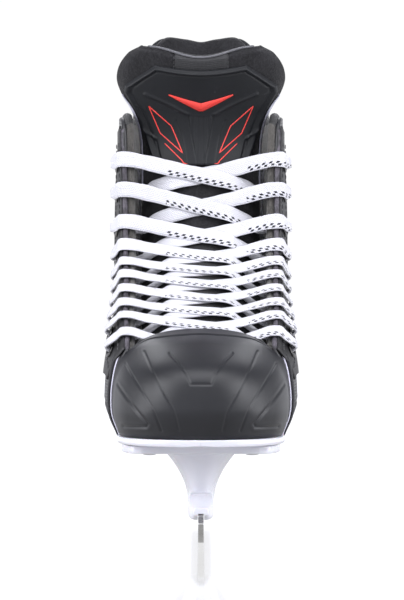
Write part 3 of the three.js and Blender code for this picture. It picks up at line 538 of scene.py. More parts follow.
def wear_group():
    """Rubbed edges: where the surface turns a corner, broken up by scuffs."""
    tree, given, result = make_group(
        "rubbed_edges",
        [("Vector", "NodeSocketVector", None), ("Amount", "NodeSocketFloat", 0.5)],
        [("Mask", "NodeSocketFloat")])
    surface = tree.nodes.new("ShaderNodeNewGeometry")
    corner = remap(tree, surface.outputs["Pointiness"], 0.515, 0.58)
    scuff = remap(tree, noise(tree, given.outputs["Vector"], 240.0, 5.0, 0.65), 0.42, 0.62)
    tree.links.new(calc(tree, "MULTIPLY", calc(tree, "MULTIPLY", corner, scuff), given.outputs["Amount"]),
                   result.inputs["Mask"])
    return tree


def cloud_group():
    """Slow drift of tone over a surface, with fine specks of dust."""
    tree, given, result = make_group(
        "tone_drift",
        [("Vector", "NodeSocketVector", None), ("Size", "NodeSocketFloat", 30.0)],
        [("Drift", "NodeSocketFloat"), ("Specks", "NodeSocketFloat")])
    slow = noise(tree, given.outputs["Vector"], given.outputs["Size"], 3.0)
    specks = noise(tree, given.outputs["Vector"], 1500.0, 2.0)
    tree.links.new(remap(tree, slow, 0.3, 0.7), result.inputs["Drift"])
    tree.links.new(remap(tree, specks, 0.66, 0.74), result.inputs["Specks"])
    return tree


def fibre_group():
    """Brushed fibres lying every way, for felt, with a tone that is painted light on the raised fibres and
    painted shade between them.
    """
    tree, given, result = make_group(
        "felt_fibre",
        [("Vector", "NodeSocketVector", None), ("Scale", "NodeSocketFloat", 500.0)],
        [("Height", "NodeSocketFloat"), ("Light", "NodeSocketFloat")])
    turned = tree.nodes.new("ShaderNodeVectorMath")
    turned.operation = "MULTIPLY"
    tree.links.new(given.outputs["Vector"], turned.inputs[0])
    turned.inputs[1].default_value = (1.0, 3.0, 0.6)
    one = noise(tree, turned.outputs[0], given.outputs["Scale"], 5.0, 0.7)
    finer = calc(tree, "MULTIPLY", given.outputs["Scale"], 2.3)
    other = noise(tree, given.outputs["Vector"], finer, 4.0, 0.7)
    both = calc(tree, "MULTIPLY_ADD", other, 0.6, one)
    tree.links.new(both, result.inputs["Height"])
    # Light output: the fibres' height as a tone, painted light on the raised fibres and painted shade between
    # them
    tree.links.new(remap(tree, both, 0.7, 1.05), result.inputs["Light"])
    return tree


GRAIN = grain_group()
WEAVE = weave_group()
WEAR = wear_group()
CLOUD = cloud_group()
FIBRE = fibre_group()


class Finish:
    """A material under construction, with its Principled shader and the coordinates it reads."""

    def __init__(self, name, roughness, metallic=0.0, coordinates="Object", stretch=(1, 1, 1)):
        self.material = bpy.data.materials.new(name)
        self.material.use_nodes = True
        self.tree = self.material.node_tree
        self.shader = self.tree.nodes["Principled BSDF"]
        self.shader.inputs["Roughness"].default_value = roughness
        self.shader.inputs["Metallic"].default_value = metallic
        source = self.tree.nodes.new("ShaderNodeTexCoord").outputs[coordinates]
        mapping = self.tree.nodes.new("ShaderNodeMapping")
        mapping.inputs["Scale"].default_value = stretch
        self.tree.links.new(source, mapping.inputs["Vector"])
        self.vector = mapping.outputs["Vector"]

    def group(self, which, **values):
        """The outputs of a shader group that reads this material's coordinates."""
        node = self.tree.nodes.new("ShaderNodeGroup")
        node.node_tree = which
        self.tree.links.new(self.vector, node.inputs["Vector"])
        for label, value in values.items():
            node.inputs[label].default_value = value
        return node.outputs

    def colour(self, dark, light, drift, wear=None):
        """Base colour drifting between two tones, with rubbed edges if a wear colour is given."""
        tone = blend_colour(self.tree, drift, (*dark, 1), (*light, 1))
        if wear is not None:
            amount, rubbed = wear
            mask = self.group(WEAR, Amount=amount)["Mask"]
            tone = blend_colour(self.tree, mask, tone, (*rubbed, 1))
        self.tree.links.new(tone, self.shader.inputs["Base Color"])

    def roughness(self, mask, low, high):
        """Roughness that follows a mask between two values."""
        self.tree.links.new(remap(self.tree, mask, 0.0, 1.0, low, high), self.shader.inputs["Roughness"])

    def bump(self, height, distance):
        """Fine relief, a distance in metres high."""
        node = self.tree.nodes.new("ShaderNodeBump")
        node.inputs["Strength"].default_value = 1.0
        node.inputs["Distance"].default_value = distance
        self.tree.links.new(height, node.inputs["Height"])
        self.tree.links.new(node.outputs["Normal"], self.shader.inputs["Normal"])

    def set(self, **values):
        """Plain values for the shader's sockets, with _ for each space in a name."""
        for label, value in values.items():
            self.shader.inputs[label.replace("_", " ")].default_value = value
        return self


def moulded(name, dark, light, rough, grain_scale, grain_depth, wear=None, **values):
    """Moulded plastic: fine spark-eroded grain, slight drift of gloss and rubbed edges."""
    look = Finish(name, rough[0])
    cloud = look.group(CLOUD, Size=28.0)
    grain = look.group(GRAIN, Scale=grain_scale, Pebble=0.35)
    look.colour(dark, light, cloud["Drift"], wear)
    look.roughness(calc(look.tree, "ADD", calc(look.tree, "MULTIPLY", cloud["Drift"], 0.6),
                        calc(look.tree, "MULTIPLY", grain["Tone"], 0.4)), *rough)
    look.bump(grain["Height"], grain_depth)
    return look.set(**values).material


def felted(name, dark, light, scale, sheen, depth=0.0003):
    """Brushed felt: a random drift of tone, with painted light on the raised fibres and painted shade between
    them.
    """
    look = Finish(name, 0.95)
    fibre = look.group(FIBRE, Scale=scale)
    cloud = look.group(CLOUD, Size=45.0)
    # Most of the tone follows the fibres' height: painted light on the raised fibres, painted shade between
    # them.
    fibres = calc(look.tree, "MULTIPLY", fibre["Light"], 0.65)
    share = calc(look.tree, "MULTIPLY_ADD", cloud["Drift"], 0.35, fibres)
    look.colour(dark, light, share)
    look.roughness(cloud["Drift"], 0.88, 1.0)
    look.bump(fibre["Height"], depth)
    return look.set(Sheen_Weight=sheen, Sheen_Roughness=0.5, Specular_IOR_Level=0.15).material


def leathered(name, dark, light, scale, depth, rough=(0.42, 0.62)):
    """Coated leather with a pebbled grain, rubbed at its edges."""
    look = Finish(name, rough[0])
    grain = look.group(GRAIN, Scale=scale, Pebble=1.0)
    cloud = look.group(CLOUD, Size=50.0)
    look.colour(dark, light, cloud["Drift"], (0.6, tuple(3.5 * c for c in light)))
    look.roughness(grain["Tone"], *rough)
    look.bump(grain["Height"], depth)
    return look.material


def woven(name, dark, light, threads, depth, rough=(0.6, 0.8)):
    """Plain woven cloth or thread."""
    look = Finish(name, rough[0])
    weave = look.group(WEAVE, Threads=threads)
    cloud = look.group(CLOUD, Size=40.0)
    threads_over = calc(look.tree, "MULTIPLY", weave["Over"], 0.7)
    share = calc(look.tree, "MULTIPLY_ADD", cloud["Drift"], 0.3, threads_over)
    look.colour(dark, light, share)
    look.roughness(weave["Over"], *rough)
    look.bump(weave["Height"], depth)
    return look.set(Sheen_Weight=0.2).material


def ground(name, dark, light, rough, stretch, depth, wear=None):
    """Ground or drawn metal, with fine marks running one way."""
    look = Finish(name, rough[0], 1.0, stretch=stretch)
    marks = noise(look.tree, look.vector, 60.0, 6.0, 0.7)
    share = remap(look.tree, marks, 0.3, 0.7)
    look.colour(dark, light, share, wear)
    look.roughness(share, *rough)
    look.bump(marks, depth)
    return look.material


def lace_finish():
    """Woven flat lace: a herringbone of fine yarns, with two rows of dark dashes near one edge, and painted
    shade in the valleys between the yarns.
    """
    look = Finish("woven_lace", 0.85, coordinates="UV")
    tree = look.tree
    across, along, _ = split(tree, look.vector)
    off_middle = calc(tree, "ABSOLUTE", calc(tree, "SUBTRACT", across, 0.5))
    slanted = calc(tree, "MULTIPLY_ADD", off_middle, 0.0065, along)
    yarns = calc(tree, "SINE", calc(tree, "MULTIPLY", slanted, 2 * math.pi / 0.0011))
    ribs = calc(tree, "SINE", calc(tree, "MULTIPLY", across, 2 * math.pi * 9))
    height = calc(tree, "MULTIPLY_ADD", yarns, 0.6, calc(tree, "MULTIPLY", ribs, 0.5))
    pitch = 0.0043
    mask = 0.0
    for centre, shift in ((0.30, 0.0), (0.14, 0.5)):
        near = calc(tree, "ABSOLUTE", calc(tree, "SUBTRACT", across, centre))
        in_row = calc(tree, "LESS_THAN", near, 0.066)
        lean = calc(tree, "MULTIPLY_ADD", across, 0.007, along)
        phase = calc(tree, "FRACT", calc(tree, "MULTIPLY_ADD", lean, 1 / pitch, shift))
        on = calc(tree, "LESS_THAN", phase, 0.42)
        mask = calc(tree, "MAXIMUM", mask, calc(tree, "MULTIPLY", in_row, on))
    shown = tree.nodes.new("ShaderNodeAttribute")
    shown.attribute_name = "tracer"
    mask = calc(tree, "MULTIPLY", mask, calc(tree, "GREATER_THAN", shown.outputs["Fac"], 0.5))
    cloud = look.group(CLOUD, Size=0.8)
    # painted shade: the colour follows the yarns' height, darker in the valleys between them, on the white
    # and on the dashes alike
    shade = remap(tree, height, -1.1, 1.1)
    white = blend_colour(tree, shade, (0.42, 0.42, 0.465, 1), (0.70, 0.695, 0.745, 1))
    soiled = blend_colour(tree, calc(tree, "MULTIPLY", cloud["Drift"], 0.3), white, (0.54, 0.54, 0.60, 1))
    tracer = blend_colour(tree, shade, (0.006, 0.006, 0.008, 1), (0.03, 0.03, 0.035, 1))
    tone = blend_colour(tree, mask, soiled, tracer)
    tree.links.new(tone, look.shader.inputs["Base Color"])
    look.roughness(shade, 0.78, 0.95)
    look.bump(height, 0.00012)
    return look.set(Sheen_Weight=0.25, Specular_IOR_Level=0.25).material


def composite_finish():
    """Coated quarter: a diamond twill under lacquer, shown only where the surface faces sideways."""
    look = Finish("coated_composite", 0.45)
    tree = look.tree
    twill = 2 * math.pi / 0.0034
    strand = 2 * math.pi / 0.0005
    _, y, z = split(tree, look.vector)
    one = calc(tree, "SINE", calc(tree, "MULTIPLY", calc(tree, "ADD", y, z), twill))
    other = calc(tree, "SINE", calc(tree, "MULTIPLY", calc(tree, "SUBTRACT", y, z), twill))
    sideways = tree.nodes.new("ShaderNodeTexCoord")
    facing_out = calc(tree, "ABSOLUTE", split(tree, sideways.outputs["Normal"])[0])
    on_flank = remap(tree, facing_out, 0.72, 0.9)
    tow = calc(tree, "MULTIPLY", calc(tree, "MULTIPLY", one, other), on_flank)
    strands = calc(tree, "SINE", calc(tree, "MULTIPLY", calc(tree, "MULTIPLY_ADD", z, 0.4, y), strand))
    height = calc(tree, "MULTIPLY_ADD", calc(tree, "MULTIPLY", strands, on_flank), 0.15, tow)
    cloud = look.group(CLOUD, Size=35.0)
    over = remap(tree, tow, -0.3, 0.3)
    share = calc(tree, "MULTIPLY_ADD", cloud["Drift"], 0.3, calc(tree, "MULTIPLY", over, 0.7))
    look.colour((0.0045, 0.0045, 0.0055), (0.019, 0.019, 0.022), share, (0.4, (0.07, 0.07, 0.08)))
    look.roughness(over, 0.34, 0.56)
    look.bump(height, 0.00008)
    return look.set(Specular_IOR_Level=0.4, Coat_Weight=0.12, Coat_Roughness=0.25).material


FINISH = {
    "cap": moulded("satin_cap_plastic", (0.0062, 0.0065, 0.0092), (0.0105, 0.0108, 0.0145), (0.36, 0.48),
                   2600.0, 0.00003, (0.35, (0.07, 0.07, 0.078)), Specular_IOR_Level=0.42),
    "shield": moulded("soft_touch_shield", (0.0035, 0.0042, 0.0060), (0.0065, 0.0074, 0.010), (0.48, 0.62),
                      2200.0, 0.00004, (0.35, (0.05, 0.05, 0.058)), Specular_IOR_Level=0.32),
    "accent": moulded("red_inlay", (0.62, 0.035, 0.03), (0.78, 0.055, 0.04), (0.32, 0.45), 2000.0, 0.00002),
    "quarter": composite_finish(),
    "leather": leathered("grained_overlay", (0.0055, 0.0052, 0.0062), (0.011, 0.0105, 0.012), 1100.0,
                         0.00014),
    "facing_edge": leathered("facing_edge", (0.018, 0.015, 0.020), (0.05, 0.045, 0.055), 1600.0, 0.0001,
                             (0.6, 0.8)),
    "felt": felted("brushed_felt", (0.006, 0.006, 0.007), (0.032, 0.031, 0.035), 700.0, 0.15),
    "liner": felted("liner_felt", (0.035, 0.033, 0.031), (0.115, 0.108, 0.10), 620.0, 0.45),
    "band": woven("tongue_band_knit", (0.010, 0.010, 0.012), (0.024, 0.024, 0.028), 1300.0, 0.00012,
                  (0.55, 0.7)),
    "gusset": woven("pale_gusset", (0.34, 0.34, 0.44), (0.55, 0.55, 0.66), 1500.0, 0.00008, (0.35, 0.5)),
    "binding": woven("ribbed_binding", (0.008, 0.008, 0.009), (0.03, 0.03, 0.032), 1000.0, 0.00015),
    "white": moulded("glossy_white_plastic", (0.585, 0.585, 0.65), (0.65, 0.65, 0.71), (0.18, 0.30),
                     1500.0, 0.000012, (0.12, (0.55, 0.55, 0.60)), Coat_Weight=0.25, Coat_Roughness=0.12,
                     Subsurface_Weight=0.06, Subsurface_Scale=0.004),
    "piping": moulded("white_piping", (0.50, 0.49, 0.60), (0.62, 0.61, 0.72), (0.35, 0.5), 2400.0, 0.00004),
    "piping_grey": woven("grey_piping", (0.06, 0.06, 0.07), (0.16, 0.16, 0.18), 2200.0, 0.00008),
    "board": woven("insole_board", (0.035, 0.031, 0.028), (0.075, 0.068, 0.060), 700.0, 0.00015,
                   (0.85, 0.95)),
    "footbed": woven("footbed_cloth", (0.016, 0.017, 0.020), (0.05, 0.052, 0.06), 800.0, 0.0002, (0.8, 0.95)),
    "thread": woven("sewing_thread", (0.02, 0.02, 0.022), (0.09, 0.09, 0.10), 2500.0, 0.00008),
    "pale_thread": woven("pale_thread", (0.30, 0.29, 0.33), (0.55, 0.54, 0.60), 2500.0, 0.00008),
    "steel": ground("ground_steel", (0.36, 0.355, 0.35), (0.47, 0.465, 0.46), (0.20, 0.36), (1, 0.03, 14),
                    0.00002),
    "zinc": ground("zinc_plate", (0.45, 0.45, 0.47), (0.68, 0.68, 0.70), (0.28, 0.45), (4, 4, 4), 0.00003),
    "eyelet": ground("enamelled_eyelet", (0.02, 0.02, 0.022), (0.05, 0.05, 0.055), (0.25, 0.4), (5, 5, 5),
                     0.00002, (0.8, (0.35, 0.34, 0.33))),
    "lace": lace_finish(),
    "aglet": moulded("aglet_film", (0.60, 0.61, 0.64), (0.72, 0.72, 0.76), (0.15, 0.28), 900.0, 0.00003,
                     Coat_Weight=0.5),
    "edge_felt": felted("edge_felt", (0.008, 0.008, 0.010), (0.035, 0.035, 0.040), 900.0, 0.15, 0.00025),
    "ankle": leathered("ankle_panel", (0.0085, 0.0085, 0.0095), (0.016, 0.016, 0.018), 1500.0, 0.0001,
                       (0.5, 0.66)),
}


def finished(piece, finish, body, replaces=()):
    """Gives a piece its material and its body, and hides the nodes that it replaces."""
    piece.data.materials.clear()
    piece.data.materials.append(FINISH[finish])
    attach(piece, body)
    if replaces:
        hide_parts(*replaces)
    return piece


# ---- places on the boot ------------------------------------------------------------------------

def half_upper():
    """The right half of the upper's outer face as a search tree, run on a little past its edges."""
    u = np.linspace(0, 0.5, 161)
    v = np.linspace(0, 1, 61)
    grid = net(UPPER_RIBS, u, v)
    ahead = grid[:1] + (grid[:1] - grid[1:2]) * 8
    grid = np.concatenate([ahead, grid])
    above = grid[:, -1:] + (grid[:, -1:] - grid[:, -2:-1]) * 4
    below = grid[:, :1] + (grid[:, :1] - grid[:, 1:2]) * 4
    grid = np.concatenate([below, grid, above], axis=1)
    faces = strip_faces(grid.shape[0], grid.shape[1])
    return BVHTree.FromPolygons([Vector(p) for p in grid.reshape(-1, 3)], faces)


UPPER_TREE = half_upper()


def on_side(y, z, off=0.0, side=1):
    """The point of the upper's outer face at a place in the side view, a distance off it, in millimetres."""
    hit, normal, _, _ = UPPER_TREE.ray_cast(Vector((150, y, z)), Vector((-1, 0, 0)))
    if hit is None:
        hit, normal, _, _ = UPPER_TREE.find_nearest(Vector((45, y, z)))
    if normal.x < 0:
        normal = -normal
    spot = hit + normal * off
    return np.array([side * spot.x, spot.y, spot.z]), np.array([side * normal.x, normal.y, normal.z])


def on_facing(row, back, off, side):
    """The point of the upper at a lace row, a distance back from the facing line and off the outer face."""
    point, _, out = facing(row)
    target = point - out * back
    return on_side(target[1], target[2], off, side)


# Walls, and the distances of faces from the upper's outer face, in millimetres.
CAP_WALL = 2.8
QUARTER_WALL = 2.5
LINER_GAP = 0.3
LINER_FACE = -6.8
OVERLAY_FACE = 1.5
RIM_FACE = 2.4
SETBACK = 10.5
SIDES = {"right": 1, "left": -1}


# ---- the lace ----------------------------------------------------------------------------------

def lace_route():
    """The lace's stops from end to end: place, way its width lies, how far it is necked, and its dashes."""
    over = 0.9
    levels = {
        ("upper", "over"): [(16.5, 0.4), (22, 0.5), (30, 0.8)],
        ("upper", "under"): [(16, 0.4), (21.5, -2.9), (27, -6.8)],
        ("lower", "over"): [(16.5, -1.1), (22, -0.9), (30, 0.4)],
        ("lower", "under"): [(16, -1.1), (21.5, -3.4), (27, -7)],
    }
    middle = {"upper": 0.4, "lower": -1.1}

    def stop(row, x, level, neck=0.0, tracer=1.0):
        point, up, out = facing(row)
        place = point + out * level
        place[0] = x
        return place, up, neck, tracer

    def round_edge(row, side):
        _, up, _ = facing(row)
        off_face = RIM_FACE + over
        stops = [(SETBACK, LINER_FACE - 1.2, 1), (SETBACK, LINER_FACE / 2, 1), (SETBACK, RIM_FACE, 1),
                 (SETBACK - 1.2, off_face + 1.8, 0.8), (SETBACK - 5, off_face + 1, 0.1),
                 (2.4, OVERLAY_FACE + over + 1.2, 0)]
        dashes = float(side > 0)
        points = [(on_facing(row, back, off, side)[0], up, neck, dashes) for back, off, neck in stops]
        edge = abs(on_facing(row, 0.6, 0, side)[0][0])
        points.append(stop(row, side * (edge + OVERLAY_FACE + over), over + 0.9, 0.0, float(side > 0)))
        points.append(stop(row, side * (edge - 3.5), over + 1.2, 0.0, float(side > 0)))
        return points

    def strand(row, side):
        kind = "upper" if side > 0 else "lower"
        row_at = lambda x: row + (38 - side * x) / 76
        on_top = float(side > 0)
        points = [stop(row, side * 32.3, -9.6, 0.5, 0.0)]
        for x, level in reversed(levels[kind, "under"]):
            points.append(stop(row_at(side * x), side * x, level, 0.0, on_top * (x < 22)))
        points.append(stop(row_at(0), 0, middle[kind], 0.0, on_top))
        for x, level in levels[kind, "over"]:
            shown = x < 20 if on_top else x > 24
            points.append(stop(row_at(-side * x), -side * x, level, 0.0, float(shown)))
        return points

    def bar():
        stops = [(-31, 0.5, -0.12), (-22, -0.9, -0.26), (-10, -1.1, -0.28), (0, -1.1, -0.28)]
        left = [stop(shift, x, level, 0.0, 0.0) for x, level, shift in stops]
        right = [stop(shift, -x, level) for x, level, shift in stops[:3][::-1]]
        return left + right

    def tail(side):
        start, _ = on_facing(ROWS - 1, SETBACK, LINER_FACE - 1.2, side)
        up = facing(ROWS - 1)[1]
        return [(start + np.array([-side * 2.2, 5, -1]), up, 0.6, 1.0),
                (start + np.array([-side * 3, 14, -10]), np.array([0, 0.6, 0.8]), 0.6, 1.0),
                (start + np.array([-side * 3.4, 20, -30]), np.array([0, 1, 0.1]), 1, 1.0)]

    def half(side):
        here, points = side, []
        for row in range(ROWS):
            points += round_edge(row, here)[::-1]
            if row < ROWS - 1:
                points += strand(row, here)
                here = -here
        return points, here

    left, left_end = half(-1)
    right, right_end = half(1)
    return tail(left_end)[::-1] + left[::-1] + bar() + right + tail(right_end)


def chordal(points, steps):
    """A smooth path through uneven stops, with the same number of steps between each pair."""
    points = np.asarray(points, float)
    ends = np.concatenate([[2 * points[0] - points[1]], points, [2 * points[-1] - points[-2]]])
    result = []
    for k in range(len(points) - 1):
        a, b, c, d = ends[k:k + 4]
        d0, d1, d2 = (max(1e-4, np.linalg.norm(q - p) ** 0.5) for p, q in ((a, b), (b, c), (c, d)))
        m1 = ((b - a) / d0 - (c - a) / (d0 + d1) + (c - b) / d1) * d1
        m2 = ((c - b) / d1 - (d - b) / (d1 + d2) + (d - c) / d2) * d1
        for s in range(steps):
            t = s / steps
            result.append(b + m1 * t + (-3 * b + 3 * c - 2 * m1 - m2) * t ** 2
                          + (2 * b - 2 * c + m1 + m2) * t ** 3)
    result.append(points[-1])
    return np.array(result)


LACE_SECTION = [(-1, 0), (-0.93, 0.75), (-0.6, 1), (-0.2, 0.9), (0.2, 0.9), (0.6, 1), (0.93, 0.75),
                (1, 0), (0.93, -0.75), (0.6, -1), (0.2, -0.9), (-0.2, -0.9), (-0.6, -1), (-0.93, -0.75)]


def lace_ribbon(name, at, path, across, neck, tracer):
    """A length of the flat lace with closed ends, and an attribute that says where its dashes show."""
    along = np.gradient(path, axis=0)
    along /= np.linalg.norm(along, axis=1, keepdims=True)
    across = across - along * (across * along).sum(axis=1, keepdims=True)
    across /= np.linalg.norm(across, axis=1, keepdims=True)
    out = np.cross(along, across)
    roll = (0.05 * np.sin(at / 23.0) + 0.04 * np.sin(at / 9.1 + 1.0)) * (1 - neck)
    turned = across + out * roll[:, None]
    out = np.cross(along, turned)
    half_width = LACE_WIDTH / 2 * (1 - neck) + LACE_NECK_WIDTH / 2 * neck
    half_thick = LACE_THICK / 2 * (1 - neck) + LACE_NECK_THICK / 2 * neck
    wobble = 1 + 0.025 * np.sin(at / 4.3) + 0.02 * np.sin(at / 2.1 + 2)
    cup = 0.22 * (1 - neck) * np.sin(at / 31.0)
    w, h = (np.array(column) for column in zip(*LACE_SECTION))
    rise = half_thick[:, None] * h[None, :] + cup[:, None] * (w * w - 0.3)[None, :]
    points = (path[:, None] + turned[:, None] * (half_width * wobble)[:, None, None] * w[None, :, None]
              + out[:, None] * rise[:, :, None])
    uvs = np.stack(np.broadcast_arrays(0.5 + 0.5 * w[None, :], at[:, None] * MM), axis=2)
    ribbon = lofted(name, points, uvs.reshape(-1, 2))
    shown = ribbon.data.attributes.new("tracer", "FLOAT", "POINT")
    shown.data.foreach_set("value", np.repeat(tracer, len(w)).astype(np.float32))
    return ribbon


def make_lace():
    """One flat lace through all the eyelets, necked in each; returns its two loose ends and their lines."""
    route = lace_route()
    steps = 7
    path = chordal([stop[0] for stop in route], steps)
    index = np.minimum(np.arange(len(path)) // steps, len(route) - 2)
    share = (np.arange(len(path)) - index * steps) / steps
    across = np.array([route[i][1] * (1 - s) + route[i + 1][1] * s for i, s in zip(index, share)])
    neck = np.array([route[i][2] * (1 - s) + route[i + 1][2] * s for i, s in zip(index, share)])
    tracer = np.array([route[i][3] * (1 - s) + route[i + 1][3] * s for i, s in zip(index, share)])
    run = np.concatenate([[0], np.cumsum(np.linalg.norm(np.diff(path, axis=0), axis=1))])
    tails = (run[3 * steps], run[-1] - run[-1 - 3 * steps])
    at = np.linspace(0, run[-1], int(run[-1] / 1.1))
    path = np.stack([np.interp(at, run, path[:, k]) for k in range(3)], axis=1)
    across = np.stack([np.interp(at, run, across[:, k]) for k in range(3)], axis=1)
    neck = np.interp(at, run, neck)
    tracer = np.interp(at, run, tracer)
    kernel = np.array([1, 2, 3, 2, 1]) / 9
    for k in range(3):
        across[2:-2, k] = np.convolve(across[:, k], kernel, "valid")
    neck[2:-2] = np.convolve(neck, kernel, "valid")
    first = int(np.searchsorted(at, tails[0]))
    last = int(np.searchsorted(at, at[-1] - tails[1]))
    main = slice(first, last + 1)
    lace = lace_ribbon("woven_lace", at[main], path[main], across[main], neck[main], tracer[main])
    finished(lace, "lace", "boot", ["lace"])
    ends = {}
    for part in (slice(0, first + 1), slice(last, len(at))):
        side = "right" if path[part][0][0] > 0 else "left"
        steady = np.full(len(at[part]), LACE_END_NECK)
        tail = lace_ribbon(f"lace_end_{side}", at[part], path[part], across[part], steady, tracer[part])
        finished(tail, "lace", "boot")
        line = path[part] if part.start else path[part][::-1]
        ends[side] = (tail, line)
    return ends


LACE_ENDS = make_lace()


# ---- toe cap -----------------------------------------------------------------------------------

def line_distance(x, z, line):
    """Distance from points to a line of corners, in the front view or the side view."""
    best = np.full(x.shape, 1e9)
    for (x0, z0), (x1, z1) in zip(line, line[1:]):
        dx, dz = x1 - x0, z1 - z0
        t = np.clip(((x - x0) * dx + (z - z0) * dz) / max(1e-9, dx * dx + dz * dz), 0, 1)
        best = np.minimum(best, np.hypot(x - x0 - t * dx, z - z0 - t * dz))
    return best


def soft_line(points, count=24):
    """A smooth line through a few corners, in the front view or the side view."""
    return [tuple(p) for p in spline([(x, z) for x, z in points], np.linspace(0, 1, count))]


CAP_LINES = [
    [(0, 90.3), (5.6, 90.3), (7.8, 95.8)] + soft_line([(7.8, 95.8), (11.6, 100.6), (17.0, 105.6)], 8),
    soft_line([(31, 105.5), (26.0, 96.4), (19.4, 85), (14.6, 76.0), (12.0, 65.4)]),
    soft_line([(41, 98.5), (37.2, 93.4), (31.6, 85.6), (26.2, 77.4), (21.2, 64.9)]),
    [(45.5, 87.5), (36.6, 77.6), (28.6, 68.4), (29.4, 66.6), (42, 65.4)],
]


def make_toe_cap():
    """One moulded cap: raised toe panels between fine sunk lines, a stepped top band and a turned-in foot."""
    u = np.linspace(0, 1, 401)
    v = np.linspace(0, 1, 161)
    outer = net(CAP_NET, u, v)
    normal = side_normals(outer, 20, 40)
    lip = np.clip((outer[:, :, 2] - sole_height(outer[:, :, 1])) / 2.4, 0, 1)
    depth = np.zeros(outer.shape[:2])
    for line in CAP_LINES:
        near = line_distance(np.abs(outer[:, :, 0]), outer[:, :, 2], line)
        depth = np.maximum(depth, 0.45 * np.exp(-(near / 0.62) ** 2))
        depth -= 0.12 * np.exp(-((near - 1.7) / 0.9) ** 2)
    groove_at = 0.895
    step = 0.35 * smooth((v - groove_at) / 0.01) - 0.5 * np.exp(-((v - groove_at + 0.004) / 0.006) ** 2)
    offset = -depth + step[None, :] - 0.7 * (1 - smooth(lip))
    shaped = outer + normal * offset[:, :, None]
    inner = outer - normal * CAP_WALL
    cap = shell("toe_cap_moulding", shaped, inner, rim=3, coarse=2)
    finished(cap, "cap", "boot", ["toe_cap"])
    edge = outer[:, -1] - normal[:, -1] * 1.2
    edge[:, 2] -= 0.2
    bead = tube("toe_cap_top_bead", resample(edge, 1.2), 1.15, 8)
    finished(bead, "binding", "boot")


# ---- upper -------------------------------------------------------------------------------------

def side_grid(y_of, z_of, off, side):
    """A grid of points on the upper from matching grids of side-view places."""
    grid = np.empty(y_of.shape + (3,))
    for index in np.ndindex(y_of.shape):
        grid[index] = on_side(y_of[index], z_of[index], off, side)[0]
    return grid


def upper_layer(u, v, outside, inside):
    """Two grids of the upper at distances from its outer face, in millimetres."""
    grid = net(UPPER_RIBS, u, v)
    normal = side_normals(grid, len(u) // 3, len(v) // 2)
    return grid + normal * np.asarray(outside)[..., None], grid + normal * np.asarray(inside)[..., None]


def stitches(name, path, length=2.6, gap=1.0, radius=0.32, body="boot"):
    """A row of separate stitches along a path, each a short thread that dips into the leather at its ends."""
    path = resample(path, 0.4)
    run = np.concatenate([[0], np.cumsum(np.linalg.norm(np.diff(path, axis=0), axis=1))])
    points, faces = [], []
    at = gap
    while at + length < run[-1]:
        stops = np.linspace(at, at + length, 5)
        line = np.stack([np.interp(stops, run, path[:, k]) for k in range(3)], axis=1)
        along = line[-1] - line[0]
        along /= np.linalg.norm(along)
        side = np.cross(along, (0, 0, 1.0)) if abs(along[2]) < 0.9 else np.cross(along, (0, 1.0, 0))
        side /= np.linalg.norm(side)
        other = np.cross(along, side)
        base = len(points)
        for p, r in zip(line, (0.45, 0.95, 1.0, 0.95, 0.45)):
            for k in range(6):
                a = 2 * math.pi * k / 6
                points.append(p + r * radius * (math.cos(a) * side + math.sin(a) * other))
        faces += strip_faces(5, 6, wrap_columns=True, start=base)
        faces.append(tuple(base + k for k in range(6)))
        faces.append(tuple(base + 24 + k for k in reversed(range(6))))
        at += length + gap
    row = outward(new_object(name, np.array(points) * MM, faces))
    return finished(row, "thread", body)


# Seams of the quarter in the side view, each with its depth (below 0 is sunk) and width.
QUARTER_SEAMS = [
    (soft_line([(-70, 74), (-30, 84), (20, 98), (62, 122), (92, 158), (112, 196), (128, 214)]), -0.55, 0.9),
    (soft_line([(-40, 96), (0, 110), (42, 136), (70, 172), (84, 204)]), -0.5, 0.8),
    (soft_line([(92, 158), (112, 168), (134, 172)]), -0.5, 0.8),
    (soft_line([(84, 204), (104, 208), (133, 204)]), -0.5, 0.8),
]


def side_relief(y, z):
    """How far the quarter's face stands out or in at places in the side view."""
    relief = np.zeros(y.shape)
    for line, height, width in QUARTER_SEAMS:
        near = line_distance(y, z, line)
        relief += height * np.exp(-(near / width) ** 2) - 0.35 * height * np.exp(-((near - 2.0) / 1.1) ** 2)
    return relief


ANKLE_LINE = np.array(QUARTER_SEAMS[0][0])


def below_long_seam(y, z):
    """True on the panel under and behind the long seam."""
    return -70 < y < 128 and z < np.interp(y, ANKLE_LINE[:, 0], ANKLE_LINE[:, 1])


